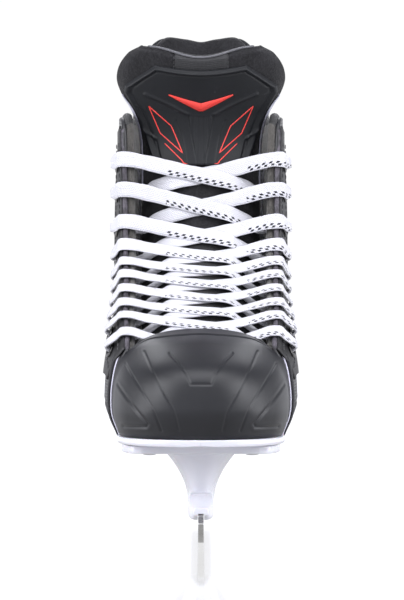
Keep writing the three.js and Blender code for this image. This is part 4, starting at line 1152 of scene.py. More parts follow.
def make_quarters():
    """Left and right quarters: coated composite outside, a padded felt liner inside."""
    for name, side in SIDES.items():
        span = (0.0, 0.4965) if side > 0 else (0.5035, 1.0)
        u = np.linspace(*span, 261)
        v = np.linspace(0, 1, 111)
        plain, inner = upper_layer(u, v, 0.0, -QUARTER_WALL)
        raised = side_relief(plain[:, :, 1], plain[:, :, 2])
        outer, _ = upper_layer(u, v, raised, 0.0)
        quarter = shell(f"quarter_shell_{name}", outer, inner, rim=3, coarse=2)
        finished(quarter, "quarter", "boot", [f"quarter_{name}"])
        quarter.data.materials.append(FINISH["ankle"])
        columns = len(v) - 1
        for face in quarter.data.polygons[:(len(u) - 1) * columns]:
            i, j = divmod(face.index, columns)
            if below_long_seam(outer[i, j, 1], outer[i, j, 2]):
                face.material_index = 1
        u = np.linspace(*span, 131)
        v = np.concatenate([np.linspace(0, 0.94, 46), np.linspace(0.95, 1, 6)])
        from_edge = np.minimum(u - span[0], span[1] - u)
        front = np.clip((u if side > 0 else 1 - u) / 0.5, 0, 1)
        ankle = np.exp(-((front - 0.78) / 0.16) ** 2)[:, None] * np.exp(-((v - 0.78) / 0.16) ** 2)[None, :]
        puff = 1.6 * ankle + 0.25 * np.sin(v * 50)[None, :] * ankle
        depth = LINER_FACE - puff * smooth(from_edge / 0.05)[:, None]
        face, back = upper_layer(u, v, -QUARTER_WALL - LINER_GAP, depth)
        liner = shell(f"liner_padding_{name}", face, back, rim=4)
        finished(liner, "liner", "boot", [f"liner_{name}"])


def make_facings():
    """The eyelet bands: an overlay with a bound front edge, a sunk line, a felt roll inside its edge and two
    rows of stitching.
    """
    rows = np.linspace(-0.98, ROWS - 0.02, 121)
    for name, side in SIDES.items():
        backs = np.linspace(0.3, 27, 28)
        y = np.empty((len(rows), len(backs)))
        z = np.empty_like(y)
        for i, row in enumerate(rows):
            point, _, out = facing(row)
            taper = 1 - 0.55 * smooth((row - (ROWS - 2.2)) / 2.2) - 0.25 * smooth((0.4 - row) / 1.4)
            target = point[None, :] - out[None, :] * (backs[:, None] * taper)
            y[i], z[i] = target[:, 1], target[:, 2]
        grid = side_grid(y, z, OVERLAY_FACE, side)
        normal = side_normals(grid, 60, 10)
        crown = 0.25 * np.exp(-((backs - 1.2) / 1.2) ** 2) - 0.3 * np.exp(-((backs - 17.4) / 0.45) ** 2)
        outer = grid + normal * crown[None, :, None]
        band = shell(f"facing_band_{name}", outer, grid - normal * 1.2, rim=3)
        finished(band, "leather", "boot", [f"facing_{name}"])
        for label, back in (("inner", 4.0), ("outer", 15.6)):
            spots = np.linspace(-0.8, ROWS - 0.3, 140)
            line = [on_facing(r, back, OVERLAY_FACE + 0.22, side)[0] for r in spots]
            stitches(f"facing_stitches_{label}_{name}", line)
        edge = np.array([on_facing(r, 0.2, -0.9, side)[0] for r in np.linspace(-0.95, ROWS - 0.05, 160)])
        bound = tube(f"facing_edge_binding_{name}", resample(edge, 1.5), 1.55, 8)
        finished(bound, "facing_edge", "boot")
        inside = np.array([on_facing(r, 1.0, -4.6, side)[0] for r in np.linspace(-0.7, ROWS - 0.05, 160)])
        roll = tube(f"facing_felt_edge_{name}", resample(inside, 1.5), 2.1, 10)
        finished(roll, "liner", "boot")


def make_front_piping():
    """The front edge of each quarter: a proud dark binding between two thin pale pipings."""
    for name, side in SIDES.items():
        for label, back, width, lift, finish in (("quarter_piping", 0.9, 1.0, 0.4, "piping"),
                                                 ("quarter_binding", 4.2, 4.8, 1.5, "edge_felt"),
                                                 ("quarter_piping_rear", 8.4, 0.8, 0.35, "piping")):
            z = np.linspace(57.5, 101.5, 60)
            y = -84.2 - 2.4 * smooth((z - 60) / 20) + back + 0.22 * np.maximum(0, z - 88)
            columns = [(-0.5, -0.3), (-0.5, lift * 0.7), (-0.3, lift), (0, lift + 0.15), (0.3, lift),
                       (0.5, lift * 0.7), (0.5, -0.3)]
            rings = np.stack([[on_side(a, b, off, side)[0] for a, b in zip(y + across * width, z)]
                              for across, off in columns], axis=1)
            finished(lofted(f"{label}_{name}", rings), finish, "boot")


def side_strip(name, line, widths, finish, lift, side):
    """A thin inlay that follows a side-view line over the quarter, swelling and tapering with its widths."""
    path = resample([(0, y, z) for y, z in line], 1.6)
    at = np.linspace(0, 1, len(path))
    wide = np.interp(at, *zip(*widths))
    along = np.gradient(path, axis=0)
    across = np.stack([np.zeros(len(path)), -along[:, 2], along[:, 1]], axis=1)
    across /= np.linalg.norm(across, axis=1, keepdims=True)
    section = [(-0.5, 0.75), (-0.25, 1), (0, 1), (0.25, 1), (0.5, 0.75), (0.5, -0.7), (0, -0.7), (-0.5, -0.7)]
    rings = []
    for p, a, w in zip(path, across, wide):
        rings.append([on_side(*(p + a * w * t)[1:], lift * h, side)[0] for t, h in section])
    return finished(lofted(name, rings), finish, "boot")


def make_side_inlays():
    """Two plain sweeping bars along each side of the boot."""
    for name, side in SIDES.items():
        upper_bar = soft_line([(-4, 114), (26, 130), (50, 152), (66, 180), (73, 196)], 30)
        lower_bar = soft_line([(14, 112), (42, 128), (66, 150), (80, 172)], 24)
        side_strip(f"side_bar_long_{name}", upper_bar, [(0, 0.6), (0.45, 6.5), (1, 1.0)], "piping", 0.4, side)
        side_strip(f"side_bar_short_{name}", lower_bar, [(0, 0.5), (0.5, 2.6), (1, 0.6)], "accent", 0.4, side)


def make_heel_counter():
    """A grained overlay wrapped round the heel, cut low under the ankle, with two rows of stitching."""
    top_line = np.array([(46, 72), (58, 80), (76, 96), (100, 120), (128, 134), (160, 141)], float)
    u = np.linspace(0.3, 0.7, 141)
    fine = np.linspace(0, 1, 401)
    full = net(UPPER_RIBS, u, fine)
    heights = np.interp(full[:, :, 1], top_line[:, 0], top_line[:, 1])
    inside = full[:, :, 2] < heights
    tops = np.array([fine[np.argmin(row)] if not row.all() else 1.0 for row in inside])
    keep = tops > 0.06
    u, tops = u[keep], tops[keep]
    share = np.linspace(0, 1, 34)
    layer = np.empty((len(u), len(share), 3))
    for i in range(len(u)):
        layer[i] = net(UPPER_RIBS, u[i:i + 1], np.linspace(0.01, tops[i], len(share)))[0]
    normal = side_normals(layer, len(u) // 4, 10)
    raised = OVERLAY_FACE + 0.35 * (1 - smooth(share / 0.9))
    outer = layer + normal * raised[None, :, None]
    counter = shell("heel_counter_overlay", outer, layer + normal * 0.3, rim=3)
    finished(counter, "leather", "boot", ["heel_counter"])
    for label, back in (("upper", 2.4), ("lower", 5.2)):
        lengths = np.linalg.norm(layer[:, -1] - layer[:, 0], axis=1)
        path = []
        for i in range(4, len(u) - 4):
            at = 1 - back / max(lengths[i], 12)
            j = at * (len(share) - 1)
            a = int(j)
            beyond = outer[i, min(a + 1, len(share) - 1)]
            path.append(outer[i, a] * (1 - (j - a)) + beyond * (j - a) + normal[i, a] * 0.2)
        stitches(f"heel_stitches_{label}", np.array(path))


def collar_edge():
    """The upper's top edge from the right facing, round the heel, to the left facing."""
    u = np.linspace(0.27, 0.73, 200)
    return net(UPPER_RIBS, u, np.array([1.0]))[:, 0]


def make_collar():
    """A rolled binding round the top of the boot, between the quarters and their padding."""
    edge = collar_edge()
    inward = np.stack([-edge[:, 0], 62 - edge[:, 1], np.zeros(len(edge))], axis=1)
    inward /= np.linalg.norm(inward, axis=1, keepdims=True)
    roll = tube("collar_binding", resample(edge + inward * 4.4 + (0, 0, 0.4), 2.2), 2.7, 12)
    finished(roll, "binding", "boot")


# ---- tendon guard ------------------------------------------------------------------------------

# The guard's seat above the quarters' edge, its wall, and the faces of the pad inside it, in millimetres.
GUARD_SEAT = 0.45
GUARD_WALL = 3.0
GUARD_PAD_FACE = 3.3
GUARD_PAD_BACK = 7.2

GUARD_RIBS = [
    (0.392, [(38.5, 106, 243), (37, 109, 256)]),
    (0.415, [(33.5, 119, 251), (33, 119.5, 268)]),
    (0.4475, [(23.5, 129.5, 257), (24.5, 131, 275.5)]),
    (0.475, [(11.6, 135, 259), (12, 139, 274)]),
    (0.5, [(0, 137, 258), (0, 141.5, 272)]),
]


def make_guard():
    """The stiff tendon guard behind the ankle, and the felt pad inside it."""
    ribs = []
    for share, points in GUARD_RIBS:
        base = net(UPPER_RIBS, np.array([share]), np.array([1.0]))[0, 0] + (0, 0, GUARD_SEAT)
        ribs.append([tuple(base)] + [(x, y, z + GUARD_SEAT) for x, y, z in points])
    ribs += mirror_ribs(ribs[:-1])[::-1]
    u = np.linspace(0, 1, 121)
    v = np.linspace(0, 1, 41)
    grid = net(ribs, u, v)
    normal = side_normals(grid, 10, 20)
    rib_lines = 0.35 * np.exp(-((v - 0.72) / 0.02) ** 2) + 0.35 * np.exp(-((v - 0.30) / 0.02) ** 2)
    panel = smooth((u - 0.18) / 0.03) * smooth((0.82 - u) / 0.03)
    outer = grid - normal * (rib_lines[None, :, None] * panel[:, None, None])
    plate = shell("tendon_guard_plate", outer, grid - normal * GUARD_WALL, rim=4)
    finished(plate, "shield", "guard", ["tendon_guard"])
    v = np.linspace(0.1, 1, 41)
    grid = net(ribs, u, v)
    normal = side_normals(grid, 10, 20)
    crown = np.sin(np.pi * np.clip(u, 0, 1)) ** 0.4
    swell = 1.2 * crown[:, None] * np.sin(np.pi * np.clip((v - 0.1) / 0.9, 0, 1))[None, :] ** 0.6
    inner = grid - normal * (GUARD_PAD_BACK + swell)[:, :, None]
    pad = shell("tendon_guard_felt", grid - normal * GUARD_PAD_FACE, inner, rim=5)
    finished(pad, "felt", "guard", ["tendon_guard_pad"])


# ---- tongue ------------------------------------------------------------------------------------

TONGUE_STATIONS = np.array([
    (-106, 102.5, 27, 7), (-73, 111, 31, 10.5), (-41, 125.6, 33, 12.5), (-9.5, 140, 33.8, 14),
    (18.4, 156.5, 34, 15.5), (27, 170.8, 34, 17), (32, 189.3, 34, 19), (36, 206.5, 34, 20),
    (37.5, 219, 34.6, 18.5), (36, 230.5, 38.5, 15.5), (33, 239, 45.5, 14), (29, 247, 48.5, 14),
    (24.5, 255, 46.5, 13), (21.5, 261.2, 41.5, 11.5), (20, 264.8, 35, 9),
], float)
TONGUE_ARCH = math.radians(75)


def tongue_point(u, v):
    """Points of the tongue's front face, in millimetres, for matching arrays of u up it and v across."""
    u, v = np.broadcast_arrays(np.asarray(u, float), np.asarray(v, float))
    shape = u.shape
    flat = spline(TONGUE_STATIONS, u.ravel())
    step = 1e-3
    ahead = spline(TONGUE_STATIONS[:, :2], np.minimum(1, u.ravel() + step))
    behind = spline(TONGUE_STATIONS[:, :2], np.maximum(0, u.ravel() - step))
    up = ahead - behind
    up /= np.linalg.norm(up, axis=1, keepdims=True)
    turn = (2 * v.ravel() - 1) * TONGUE_ARCH
    fall = flat[:, 3] * (1 - np.cos(turn)) / (1 - math.cos(TONGUE_ARCH))
    x = flat[:, 2] * np.sin(turn) / math.sin(TONGUE_ARCH)
    y = flat[:, 0] + up[:, 1] * fall
    z = flat[:, 1] - up[:, 0] * fall
    crest = (1 - np.cos(np.pi * np.minimum(1, np.abs(2 * v.ravel() - 1) / 0.6))) / 2
    z += 4.5 * crest * np.maximum(0, (u.ravel() - 0.8) / 0.2)
    return np.stack([x, y, z], axis=1).reshape(shape + (3,))


def tongue_normal(grid):
    """Unit normals that point to the front."""
    normal = grid_normals(grid)
    return normal * -np.sign(normal[grid.shape[0] // 2, grid.shape[1] // 2, 1])


# Half the width of the tongue's middle band, in millimetres.
BAND_HALF = 15.5


def flexing(piece, finish):
    """Gives a piece its finish and slot, and bakes its placement into its mesh."""
    piece.data.materials.append(FINISH[finish])
    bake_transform(piece)
    return piece


def make_tongue():
    """The padded felt tongue in one piece, with side lobes, a seamed middle band and a grey top piping."""
    u = np.linspace(0, 1, 261)
    v = np.linspace(0, 1, 121)
    U, V = np.meshgrid(u, v, indexing="ij")
    grid = tongue_point(U, V)
    normal = tongue_normal(grid)
    edge = np.abs(2 * V - 1)
    x = np.abs(grid[:, :, 0])
    above = smooth((U - 0.80) / 0.05)
    across_lobe = smooth((edge - 0.16) / 0.25) * smooth((1.02 - edge) / 0.3)
    lobe = across_lobe * smooth((U - 0.70) / 0.12) * smooth((1.01 - U) / 0.05)
    seam = np.exp(-((x - BAND_HALF) / 0.9) ** 2) * above
    rim = smooth((1 - U) / 0.03)
    front = 1.6 * lobe - 0.9 * seam - 0.5 * (1 - rim)
    outer = grid + normal * front[:, :, None]
    thick = 9 + (5 - 9) * edge ** 2
    thick = thick * (0.55 + 0.45 * np.minimum(1, np.minimum((1 - U) / 0.06, (U + 0.02) / 0.06)))
    back = thick + 1.8 * lobe
    quilts = 0.5 * np.abs(np.sin(U * 30)) * smooth((0.9 - edge) / 0.2) * smooth((0.96 - U) / 0.1)
    inner = grid - normal * (back + quilts)[:, :, None]
    tongue = flexing(shell("tongue_felt", outer, inner, rim=5), "felt")
    tongue.data.materials.append(FINISH["band"])
    columns = len(v)
    for face in tongue.data.polygons[:(len(u) - 1) * (columns - 1)]:
        i, j = divmod(face.index, columns - 1)
        if x[i, j] < BAND_HALF - 0.1 and u[i] > 0.80:
            face.material_index = 1
    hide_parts("tongue_pad_lower", "tongue_pad_upper")
    top = tongue_point(np.full(121, 1.0), np.linspace(0.12, 0.88, 121))
    top = top + normal[-1, 60] * -0.6 + (0, 0, 0.9)
    piping = tube("tongue_top_piping", resample(top, 1.2), 0.6, 8)
    finished(piping, "piping_grey", "tongue_top")
    for name, side in SIDES.items():
        shares = np.linspace(0.80, 0.992, 60)
        halves = spline(TONGUE_STATIONS, shares)[:, 2]
        at = 0.5 + side * np.arcsin(BAND_HALF / halves * math.sin(TONGUE_ARCH)) / TONGUE_ARCH / 2
        line = tongue_point(shares, at)
        line += normal[230, 60] * 0.1
        row = stitches(f"tongue_band_stitches_{name}", line, 1.8, 0.9, 0.22, "tongue_top")


# The shield's ends up the tongue, and its face and back in millimetres off the felt.
SHIELD_START = 0.49
SHIELD_TOP = 0.895
SHIELD_FACE = 3.3
SHIELD_BACK = 0.9

# Half the shield's width, in millimetres, at places up the tongue.
SHIELD_HALVES = np.array([(0.49, 26), (0.5385, 28.5), (0.60, 32), (0.66, 36), (0.715, 40), (0.755, 43),
                          (0.785, 42.5), (0.82, 37), (0.86, 30.5), (0.895, 25.5)])


def shield_half(u):
    """Half the shield's width at a place up the tongue."""
    return np.interp(u, SHIELD_HALVES[:, 0], SHIELD_HALVES[:, 1])


# Front-view lines of the shield, right half, each with the height of its ridge or, below 0, its groove.
SHIELD_LINES = [
    (soft_line([(31, 246.5), (18, 240.5), (7, 234.2)], 10), 0.75, 0.9),
    ([(7, 234.2), (5.6, 225), (2.6, 208), (1.2, 196)], -0.55, 0.5),
    (soft_line([(40.5, 240), (33.5, 229), (24.5, 219.5)], 10), 0.7, 0.8),
    ([(24.5, 219.5), (22, 208), (18, 196)], -0.5, 0.6),
    ([(13.5, 230.5), (10.5, 222), (8.2, 208), (7.4, 198)], -0.5, 0.55),
]


def shield_surface(x, z, lift):
    """The point of the shield's face at a front-view place, lifted off it."""
    hit, normal, _, _ = SHIELD_TREE.ray_cast(Vector((x, -200, z)), Vector((0, 1, 0)))
    if hit is None:
        hit, normal, _, _ = SHIELD_TREE.find_nearest(Vector((x, 25, z)))
    if normal.y > 0:
        normal = -normal
    return np.array(hit + normal * lift)


def accent_strip(name, line, widths, lift, step):
    """A thin raised red inlay along a front-view line on the shield, with widths at places along it."""
    line = resample([(x, 0, z) for x, z in line], step)
    wide = np.interp(np.linspace(0, 1, len(line)), *zip(*widths))
    along = np.gradient(line, axis=0)
    side = np.stack([-along[:, 2], np.zeros(len(line)), along[:, 0]], axis=1)
    side /= np.linalg.norm(side, axis=1, keepdims=True)
    rings = []
    for p, s, w in zip(line, side, wide):
        a, b = p + s * w / 2, p - s * w / 2
        rings.append([shield_surface(a[0], a[2], lift * 0.8), shield_surface(p[0], p[2], lift),
                      shield_surface(b[0], b[2], lift * 0.8), shield_surface(b[0], b[2], -0.5),
                      shield_surface(a[0], a[2], -0.5)])
    flexing(lofted(name, rings), "accent")


def make_shield():
    """The moulded shield on the tongue, with a raised rim, ridges and a fluted middle panel."""
    global SHIELD_TREE
    u = np.linspace(SHIELD_START, SHIELD_TOP, 221)
    w = np.linspace(-1, 1, 241)
    halves = spline(TONGUE_STATIONS, u)[:, 2]
    widest = np.minimum(shield_half(u), halves * 0.965)
    reach = np.arcsin(widest / halves * math.sin(TONGUE_ARCH)) / TONGUE_ARCH / 2
    U = np.repeat(u[:, None], len(w), axis=1)
    V = 0.5 + reach[:, None] * w[None, :]
    grid = tongue_point(U, V)
    normal = tongue_normal(grid)
    x, z = np.abs(grid[:, :, 0]), grid[:, :, 2]
    lift = np.full(x.shape, SHIELD_FACE)
    for line, height, width in SHIELD_LINES:
        lift += height * np.exp(-(line_distance(x, z, line) / width) ** 2)
    from_side = widest[:, None] - x
    from_top = (SHIELD_TOP - U) * 180
    rim = np.minimum(from_side, from_top)
    lift += 0.9 * np.exp(-((rim - 2.2) / 1.1) ** 2) - 0.5 * np.exp(-((rim - 4.4) / 0.8) ** 2)
    lift -= 0.9 * (1 - smooth(rim / 1.2))
    centre = np.clip(x / 6.0, 0, 1)
    inside_fan = (z < 233) & (x < 1.2 + (z - 196) * 0.155)
    lift += np.where(inside_fan, -0.25 * (1 - centre) + 0.2 * np.cos(x * 2.2), 0)
    outer = grid + normal * lift[:, :, None]
    inner = grid + normal * SHIELD_BACK
    corners = [Vector(p) for p in outer.reshape(-1, 3)]
    SHIELD_TREE = BVHTree.FromPolygons(corners, strip_faces(len(u), len(w)))
    shield = flexing(shell("tongue_shield_moulding", outer, inner, rim=3, coarse=2), "shield")
    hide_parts("tongue_shield")
    chevron = [(-18.5, 244.6), (-9, 240.6), (0, 237.2), (9, 240.6), (18.5, 244.6)]
    accent_strip("shield_chevron", chevron, [(0, 0.5), (0.5, 4.6), (1, 0.5)], 0.6, 0.7)
    for name, side in SIDES.items():
        first = [(30.0, 238.0), (17.0, 226.5), (10.5, 211.0), (23.5, 222.5), (30.0, 238.0)]
        second = [(20.8, 216.5), (10.6, 206.5), (8.9, 202.0)]
        for label, line in (("upper", first), ("lower", second)):
            path = [(side * a, b) for a, b in line]
            accent_strip(f"shield_line_{label}_{name}", path, [(0, 0.5), (1, 0.5)], 0.3, 0.9)


def make_gussets():
    """The pale cloth gussets that show in the gaps beside the tongue."""
    for name, side in SIDES.items():
        shares = np.linspace(0.44, 0.72, 60)
        inner = tongue_point(shares, np.full(60, 0.5 + side * 0.47)) + (side * 0.6, -1.5, 0)
        outer = inner + np.array([side * 1.0, 13.0, -1.5]) * np.sin(np.pi * np.linspace(0.15, 1, 60))[:, None]
        strip = np.stack([inner * (1 - t) + outer * t for t in np.linspace(0, 1, 9)], axis=1)
        half_wall = (side * 0.35, 0, 0)
        gusset = shell(f"tongue_gusset_{name}", strip + half_wall, strip - half_wall, rim=1)
        flexing(gusset, "gusset")


# ---- eyelets, rivets and aglets ----------------------------------------------------------------

def clear_selection():
    """Leaves edit mode with nothing selected."""
    if bpy.context.mode != "OBJECT":
        bpy.ops.object.mode_set(mode="OBJECT")
    bpy.ops.object.select_all(action="DESELECT")


def select_only(piece):
    """Selects one piece and makes it the active one."""
    clear_selection()
    piece.select_set(True)
    bpy.context.view_layer.objects.active = piece


def turned_piece(name, profile, steps=32):
    """Spins a profile of (radius, height) in millimetres round the Z axis into one closed piece."""
    mesh = bpy.data.meshes.new(name)
    edges = [(k, k + 1) for k in range(len(profile) - 1)]
    mesh.from_pydata([(r * MM, 0, h * MM) for r, h in profile], edges, [])
    piece = bpy.data.objects.new(name, mesh)
    bpy.context.scene.collection.objects.link(piece)
    select_only(piece)
    bpy.ops.object.mode_set(mode="EDIT")
    bpy.ops.mesh.select_all(action="SELECT")
    bpy.ops.mesh.spin(steps=steps, angle=2 * math.pi, center=(0, 0, 0), axis=(0, 0, 1))
    bpy.ops.mesh.select_all(action="SELECT")
    bpy.ops.mesh.remove_doubles(threshold=1e-6)
    bpy.ops.mesh.normals_make_consistent(inside=False)
    bpy.ops.object.mode_set(mode="OBJECT")
    bpy.ops.object.shade_smooth_by_angle(angle=math.radians(40))
    clear_selection()
    return outward(piece)


def copy_at(model, name, place, direction):
    """A copy of a turned piece, standing at a place in millimetres along a direction."""
    copy = model.copy()
    copy.data = model.data.copy()
    copy.name = name
    bpy.context.scene.collection.objects.link(copy)
    turn = Vector(direction).to_track_quat("Z", "Y").to_matrix().to_4x4()
    copy.data.transform(Matrix.Translation(Vector(place) * MM) @ turn)
    return copy


def make_eyelets():
    """A rolled eyelet in every row of each facing."""
    profile = [(2.6, -6.8), (3.9, -6.8), (4.0, -6.6), (4.0, -6.3), (3.2, -6.2), (3.2, 1.75), (4.6, 1.8),
               (4.85, 2.05), (4.7, 2.35), (4.1, 2.6), (3.3, 2.62), (2.85, 2.4), (2.62, 1.9), (2.6, -6.8)]
    model = turned_piece("eyelet_pattern", profile)
    for name, side in SIDES.items():
        for row in range(ROWS):
            spot, normal = on_facing(row, SETBACK, 0, side)
            eyelet = copy_at(model, f"rolled_eyelet_{name}_{row + 1}", spot, normal)
            finished(eyelet, "eyelet", "boot", [f"eyelet_{name}_{row + 1}"])
    bpy.data.objects.remove(model)


RIVET_SPOTS = [(28, -112), (31.5, -90), (31, -66), (28, -40), (17, 56), (19, 88), (12, 118)]


def make_rivets():
    """Domed rivets through the flanges and the sole, each where its solid is."""
    for index, (x, y) in enumerate(RIVET_SPOTS):
        end = "front" if y < 0 else "rear"
        number = index + 1 if y < 0 else index - 3
        for name, side in (("left", -1), ("right", 1)):
            node = f"rivet_{end}_{name}_{number}"
            low, high = (np.array(corner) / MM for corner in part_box(node))
            profile = [(0, low[2]), (1.2, low[2]), (1.3, low[2] + 0.25), (2.6, low[2] + 0.12),
                       (3.5, low[2] + 0.4), (3.95, low[2] + 1.0), (3.7, low[2] + 1.15), (2.1, low[2] + 1.2),
                       (2.1, high[2] - 1.0), (3.1, high[2] - 0.9), (3.1, high[2] - 0.6), (2.3, high[2] - 0.1), (0, high[2])]
            rivet = turned_piece(f"domed_{node}", profile, 24)
            rivet.data.transform(Matrix.Translation((*((low + high) / 2 * MM)[:2], 0)))
            finished(rivet, "zinc", "boot", [node])


def make_aglets():
    """The hard clear tips on the lace's ends, squeezed a little where they grip it."""
    for name in SIDES:
        corners = np.array([v.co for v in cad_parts[f"aglet_{name}"].data.vertices])
        centre = corners.mean(axis=0)
        _, _, axes = np.linalg.svd(corners - centre)
        along = Vector(axes[0]) if axes[0][2] < 0 else -Vector(axes[0])
        profile = [(0, -12), (1.5, -12), (1.85, -11.6), (1.9, -6), (1.72, -4.8), (1.9, -3.6), (1.9, 10.6),
                   (1.5, 11.8), (0, 12)]
        tip = turned_piece(f"lace_tip_{name}", profile, 20)
        turn = along.to_track_quat("Z", "Y").to_matrix().to_4x4()
        tip.data.transform(Matrix.Translation(Vector(centre)) @ turn)
        finished(tip, "aglet", "boot", [f"aglet_{name}"])


# ---- sole, holder and runner -------------------------------------------------------------------

def sole_plate(name, toe, heel, inset, low, high, finish, node, rounding, dish=0.0):
    """A plate under or in the boot, cut to the sole's outline, with rounded edges."""
    lengths = 141
    turn = np.linspace(0, np.pi, lengths)
    y = toe + (heel - toe) * (1 - np.cos(turn)) / 2
    half = np.maximum(sole_half(y, inset), 0.15)
    w = np.sin(np.linspace(-np.pi / 2, np.pi / 2, 33))
    x = half[:, None] * w[None, :]
    Y = np.repeat(y[:, None], 33, axis=1)
    base = sole_height(Y)
    from_side = (1 - np.abs(w))[None, :] * half[:, None]
    edge = np.minimum(from_side, np.minimum(y - toe, heel - y)[:, None])
    ease = rounding * (1 - np.sqrt(np.clip(1 - (1 - np.clip(edge / rounding, 0, 1)) ** 2, 0, 1)))
    rise = dish * smooth(np.abs(w) ** 2)[None, :]
    top = np.stack([x, Y, base + high - ease + rise], axis=2)
    bottom = np.stack([x, Y, base + low + ease], axis=2)
    plate = shell(name, top, bottom, rim=2)
    return finished(plate, finish, "boot", [node])


# The holder and runner, in millimetres: the flange's faces under the sole's top, the pillar's half width,
# the rail's end, half the runner's thickness and half the slot's, and the wells under the inner rivets.
FLANGE_LOW = 8.7
FLANGE_HIGH = 4.1
PILLAR_HALF = 7.2
RAIL_END = 133
RUNNER_HALF = 1.5
SLOT_HALF = 1.8
WELL_RADIUS = 4.3
WELL_DEPTH = 14
WELL_REACH = 26


def join_closed(name, pieces):
    """Joins pieces into one object."""
    clear_selection()
    for piece in pieces:
        piece.select_set(True)
    bpy.context.view_layer.objects.active = pieces[0]
    bpy.ops.object.join()
    pieces[0].name = name
    return pieces[0]


def holder_flange(name, toe, heel):
    """One flange under the sole, following its outline and its slope."""
    y = np.linspace(toe, heel, 61)
    rings = []
    for at in y:
        from_end = min(at - toe, heel - at)
        half = float(sole_half(at, 2.5))
        half = max(half - 5.0 * (1 - math.sqrt(max(0.0, 1 - (1 - min(1, from_end / 6.0)) ** 2))), 1.5)
        z = float(sole_height(at))
        shares = (-1, -0.5, 0, 0.5, 1)
        ring = [(half * share, at, z - FLANGE_LOW) for share in shares]
        rings.append(ring + [(half * share, at, z - FLANGE_HIGH) for share in reversed(shares)])
    return lofted(name, rings)


def holder_pillar(name, top_span, bottom_span, top_half):
    """One pillar, flaring from the rail into its flange in a long smooth curve."""
    rings = []
    for down in np.linspace(0, 1, 41):
        share = (1 - down) ** 2
        half = PILLAR_HALF + (top_half + 3.2 - PILLAR_HALF) * share
        front = bottom_span[0] + (top_span[0] - bottom_span[0]) * share
        back = bottom_span[1] + (top_span[1] - bottom_span[1]) * share
        ring = []
        for k in range(48):
            a = 2 * math.pi * k / 48
            c, s = math.cos(a), math.sin(a)
            x = half * math.copysign(abs(c) ** 0.75, c)
            y = (front + back) / 2 + (back - front) / 2 * math.copysign(abs(s) ** 0.7, s)
            high = float(sole_height(y)) - 6.2
            ring.append((x, y, high + (21.0 - high) * down))
        rings.append(ring)
    return lofted(name, rings)


def holder_rail():
    """The rail between the pillars, with drawn-in sides and upswept ends."""
    rings = []
    front = np.linspace(-RAIL_END, -120, 16)
    for at in np.concatenate([front, np.linspace(-117, 117, 79), np.linspace(120, RAIL_END, 16)]):
        from_end = RAIL_END - abs(at)
        tip = smooth(from_end / 16)
        low = 15 + 2.6 * (1 - smooth(from_end / 7))
        high = 22.5 + 6.2 * tip
        half = 4.2 + 2.9 * smooth(from_end / 12)
        middle = (low + high) / 2
        ring = []
        for k in range(24):
            a = 2 * math.pi * k / 24
            c, s = math.cos(a), math.sin(a)
            ring.append((half * math.copysign(abs(c) ** 0.4, c), at,
                         middle + (high - low) / 2 * math.copysign(abs(s) ** 0.5, s)))
        rings.append(ring)
    return lofted("holder_rail", rings)


def runner_profile():
    """Side outline of the runner, from the toe end along the edge, and back over its top."""
    foot = lambda y: max(0.0, abs(y) - 20) ** 2 / 5400
    edge = [(y, foot(y)) for y in np.linspace(-116, 116, 93)]
    corners = [(116, foot(116)), (123, 2.6), (128.5, 4.7), (134, 7.6), (138, 10.8), (139.8, 14.0)]
    heel = [tuple(p) for p in spline(corners, np.linspace(0.02, 1, 22))]
    top = [(139.6, 14.8), (137.2, 16.0), (133, 18.6), (129, 22.0), (126.5, 23.7), (124.5, 24.0)]
    half = edge[len(edge) // 2:] + heel + top
    return [(-y, z) for y, z in half[::-1]][:-1] + half


def make_runner():
    """The steel runner: bevelled top and bright ground sides."""
    outline = runner_profile()
    mesh = bpy.data.meshes.new("ground_runner")
    face = tuple(range(len(outline)))
    mesh.from_pydata([(-RUNNER_HALF * MM, y * MM, z * MM) for y, z in outline], [], [face])
    runner = bpy.data.objects.new("ground_runner", mesh)
    bpy.context.scene.collection.objects.link(runner)
    select_only(runner)
    bpy.ops.object.mode_set(mode="EDIT")
    bpy.ops.mesh.select_all(action="SELECT")
    bpy.ops.mesh.extrude_region_move(TRANSFORM_OT_translate={"value": (2 * RUNNER_HALF * MM, 0, 0)})
    bpy.ops.mesh.select_all(action="SELECT")
    bpy.ops.mesh.normals_make_consistent(inside=False)
    bpy.ops.object.mode_set(mode="OBJECT")
    bevel = runner.modifiers.new("edges", "BEVEL")
    bevel.width = 0.25 * MM
    bevel.segments = 2
    bevel.limit_method = "ANGLE"
    bevel.angle_limit = math.radians(60)
    bpy.ops.object.modifier_apply(modifier="edges")
    clear_selection()
    outward(runner)
    finished(runner, "steel", "boot", ["runner"])


def cut_away(body, cutter):
    """Takes a closed cutter out of a body."""
    select_only(body)
    cut = body.modifiers.new("cut", "BOOLEAN")
    cut.object = cutter
    cut.operation = "DIFFERENCE"
    cut.solver = "EXACT"
    bpy.ops.object.modifier_apply(modifier="cut")
    bpy.data.objects.remove(cutter)


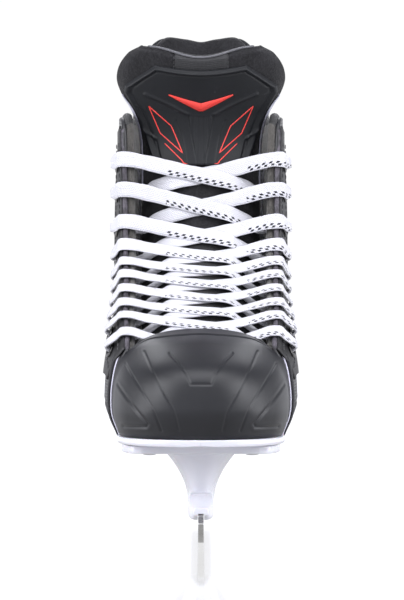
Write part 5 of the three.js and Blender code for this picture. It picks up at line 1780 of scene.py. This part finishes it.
def make_holder():
    """The moulded holder: two flanges, two flared pillars and the rail grown into one body, then cut."""
    body = join_closed("holder_moulding", [
        holder_flange("front_flange", -127, -20),
        holder_flange("rear_flange", 42, 134),
        holder_pillar("front_pillar", (-121, -30), (-112, -44), 20),
        holder_pillar("rear_pillar", (48, 126), (58, 116), 19),
        holder_rail(),
    ])
    body.data.remesh_voxel_size = 0.9 * MM
    bpy.ops.object.voxel_remesh()
    select_only(body)
    soften = body.modifiers.new("soften", "SMOOTH")
    soften.factor = 0.5
    soften.iterations = 7
    bpy.ops.object.modifier_apply(modifier="soften")
    clear_selection()
    outline = runner_profile()
    grown = [(y * 1.002, z + (0.3 if z > 14 else -0.4)) for y, z in outline]
    cut_away(body, lofted("slot_cutter", [[(x, y, z) for y, z in grown] for x in (-SLOT_HALF, SLOT_HALF)]))
    for x, y in (spot for spot in RIVET_SPOTS if spot[0] <= WELL_REACH):
        for side in (-1, 1):
            clear_selection()
            bottom = float(sole_height(y)) - FLANGE_LOW
            place = (side * x * MM, y * MM, (bottom - WELL_DEPTH / 2) * MM)
            bpy.ops.mesh.primitive_cylinder_add(vertices=40, radius=WELL_RADIUS * MM, depth=WELL_DEPTH * MM,
                                                location=place)
            cutter = bpy.context.active_object
            bpy.ops.object.transform_apply(location=True)
            cut_away(body, cutter)
    bpy.ops.object.shade_smooth_by_angle(angle=math.radians(35))
    clear_selection()
    finished(body, "white", "boot", ["blade_holder"])


make_toe_cap()
make_quarters()
make_facings()
make_front_piping()
make_side_inlays()
make_heel_counter()
make_collar()
make_guard()
make_tongue()
make_shield()
make_gussets()
make_eyelets()
make_rivets()
make_aglets()
sole_plate("outsole_plate", -149, 137.5, 0, -3.8, 0, "white", "outsole", 1.0)
sole_plate("footbed_foam", -139, 127.5, 10, 3.7, 7.7, "footbed", "footbed", 1.4, 1.5)
make_holder()
make_runner()

for node_name, finish_name in (("insole_board", "board"), ("runner_bolt_front", "zinc"),
                               ("runner_bolt_rear", "zinc"), ("runner_nut_front", "zinc"),
                               ("runner_nut_rear", "zinc")):
    node_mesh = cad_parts[node_name].data
    node_mesh.materials.clear()
    node_mesh.materials.append(FINISH[finish_name])
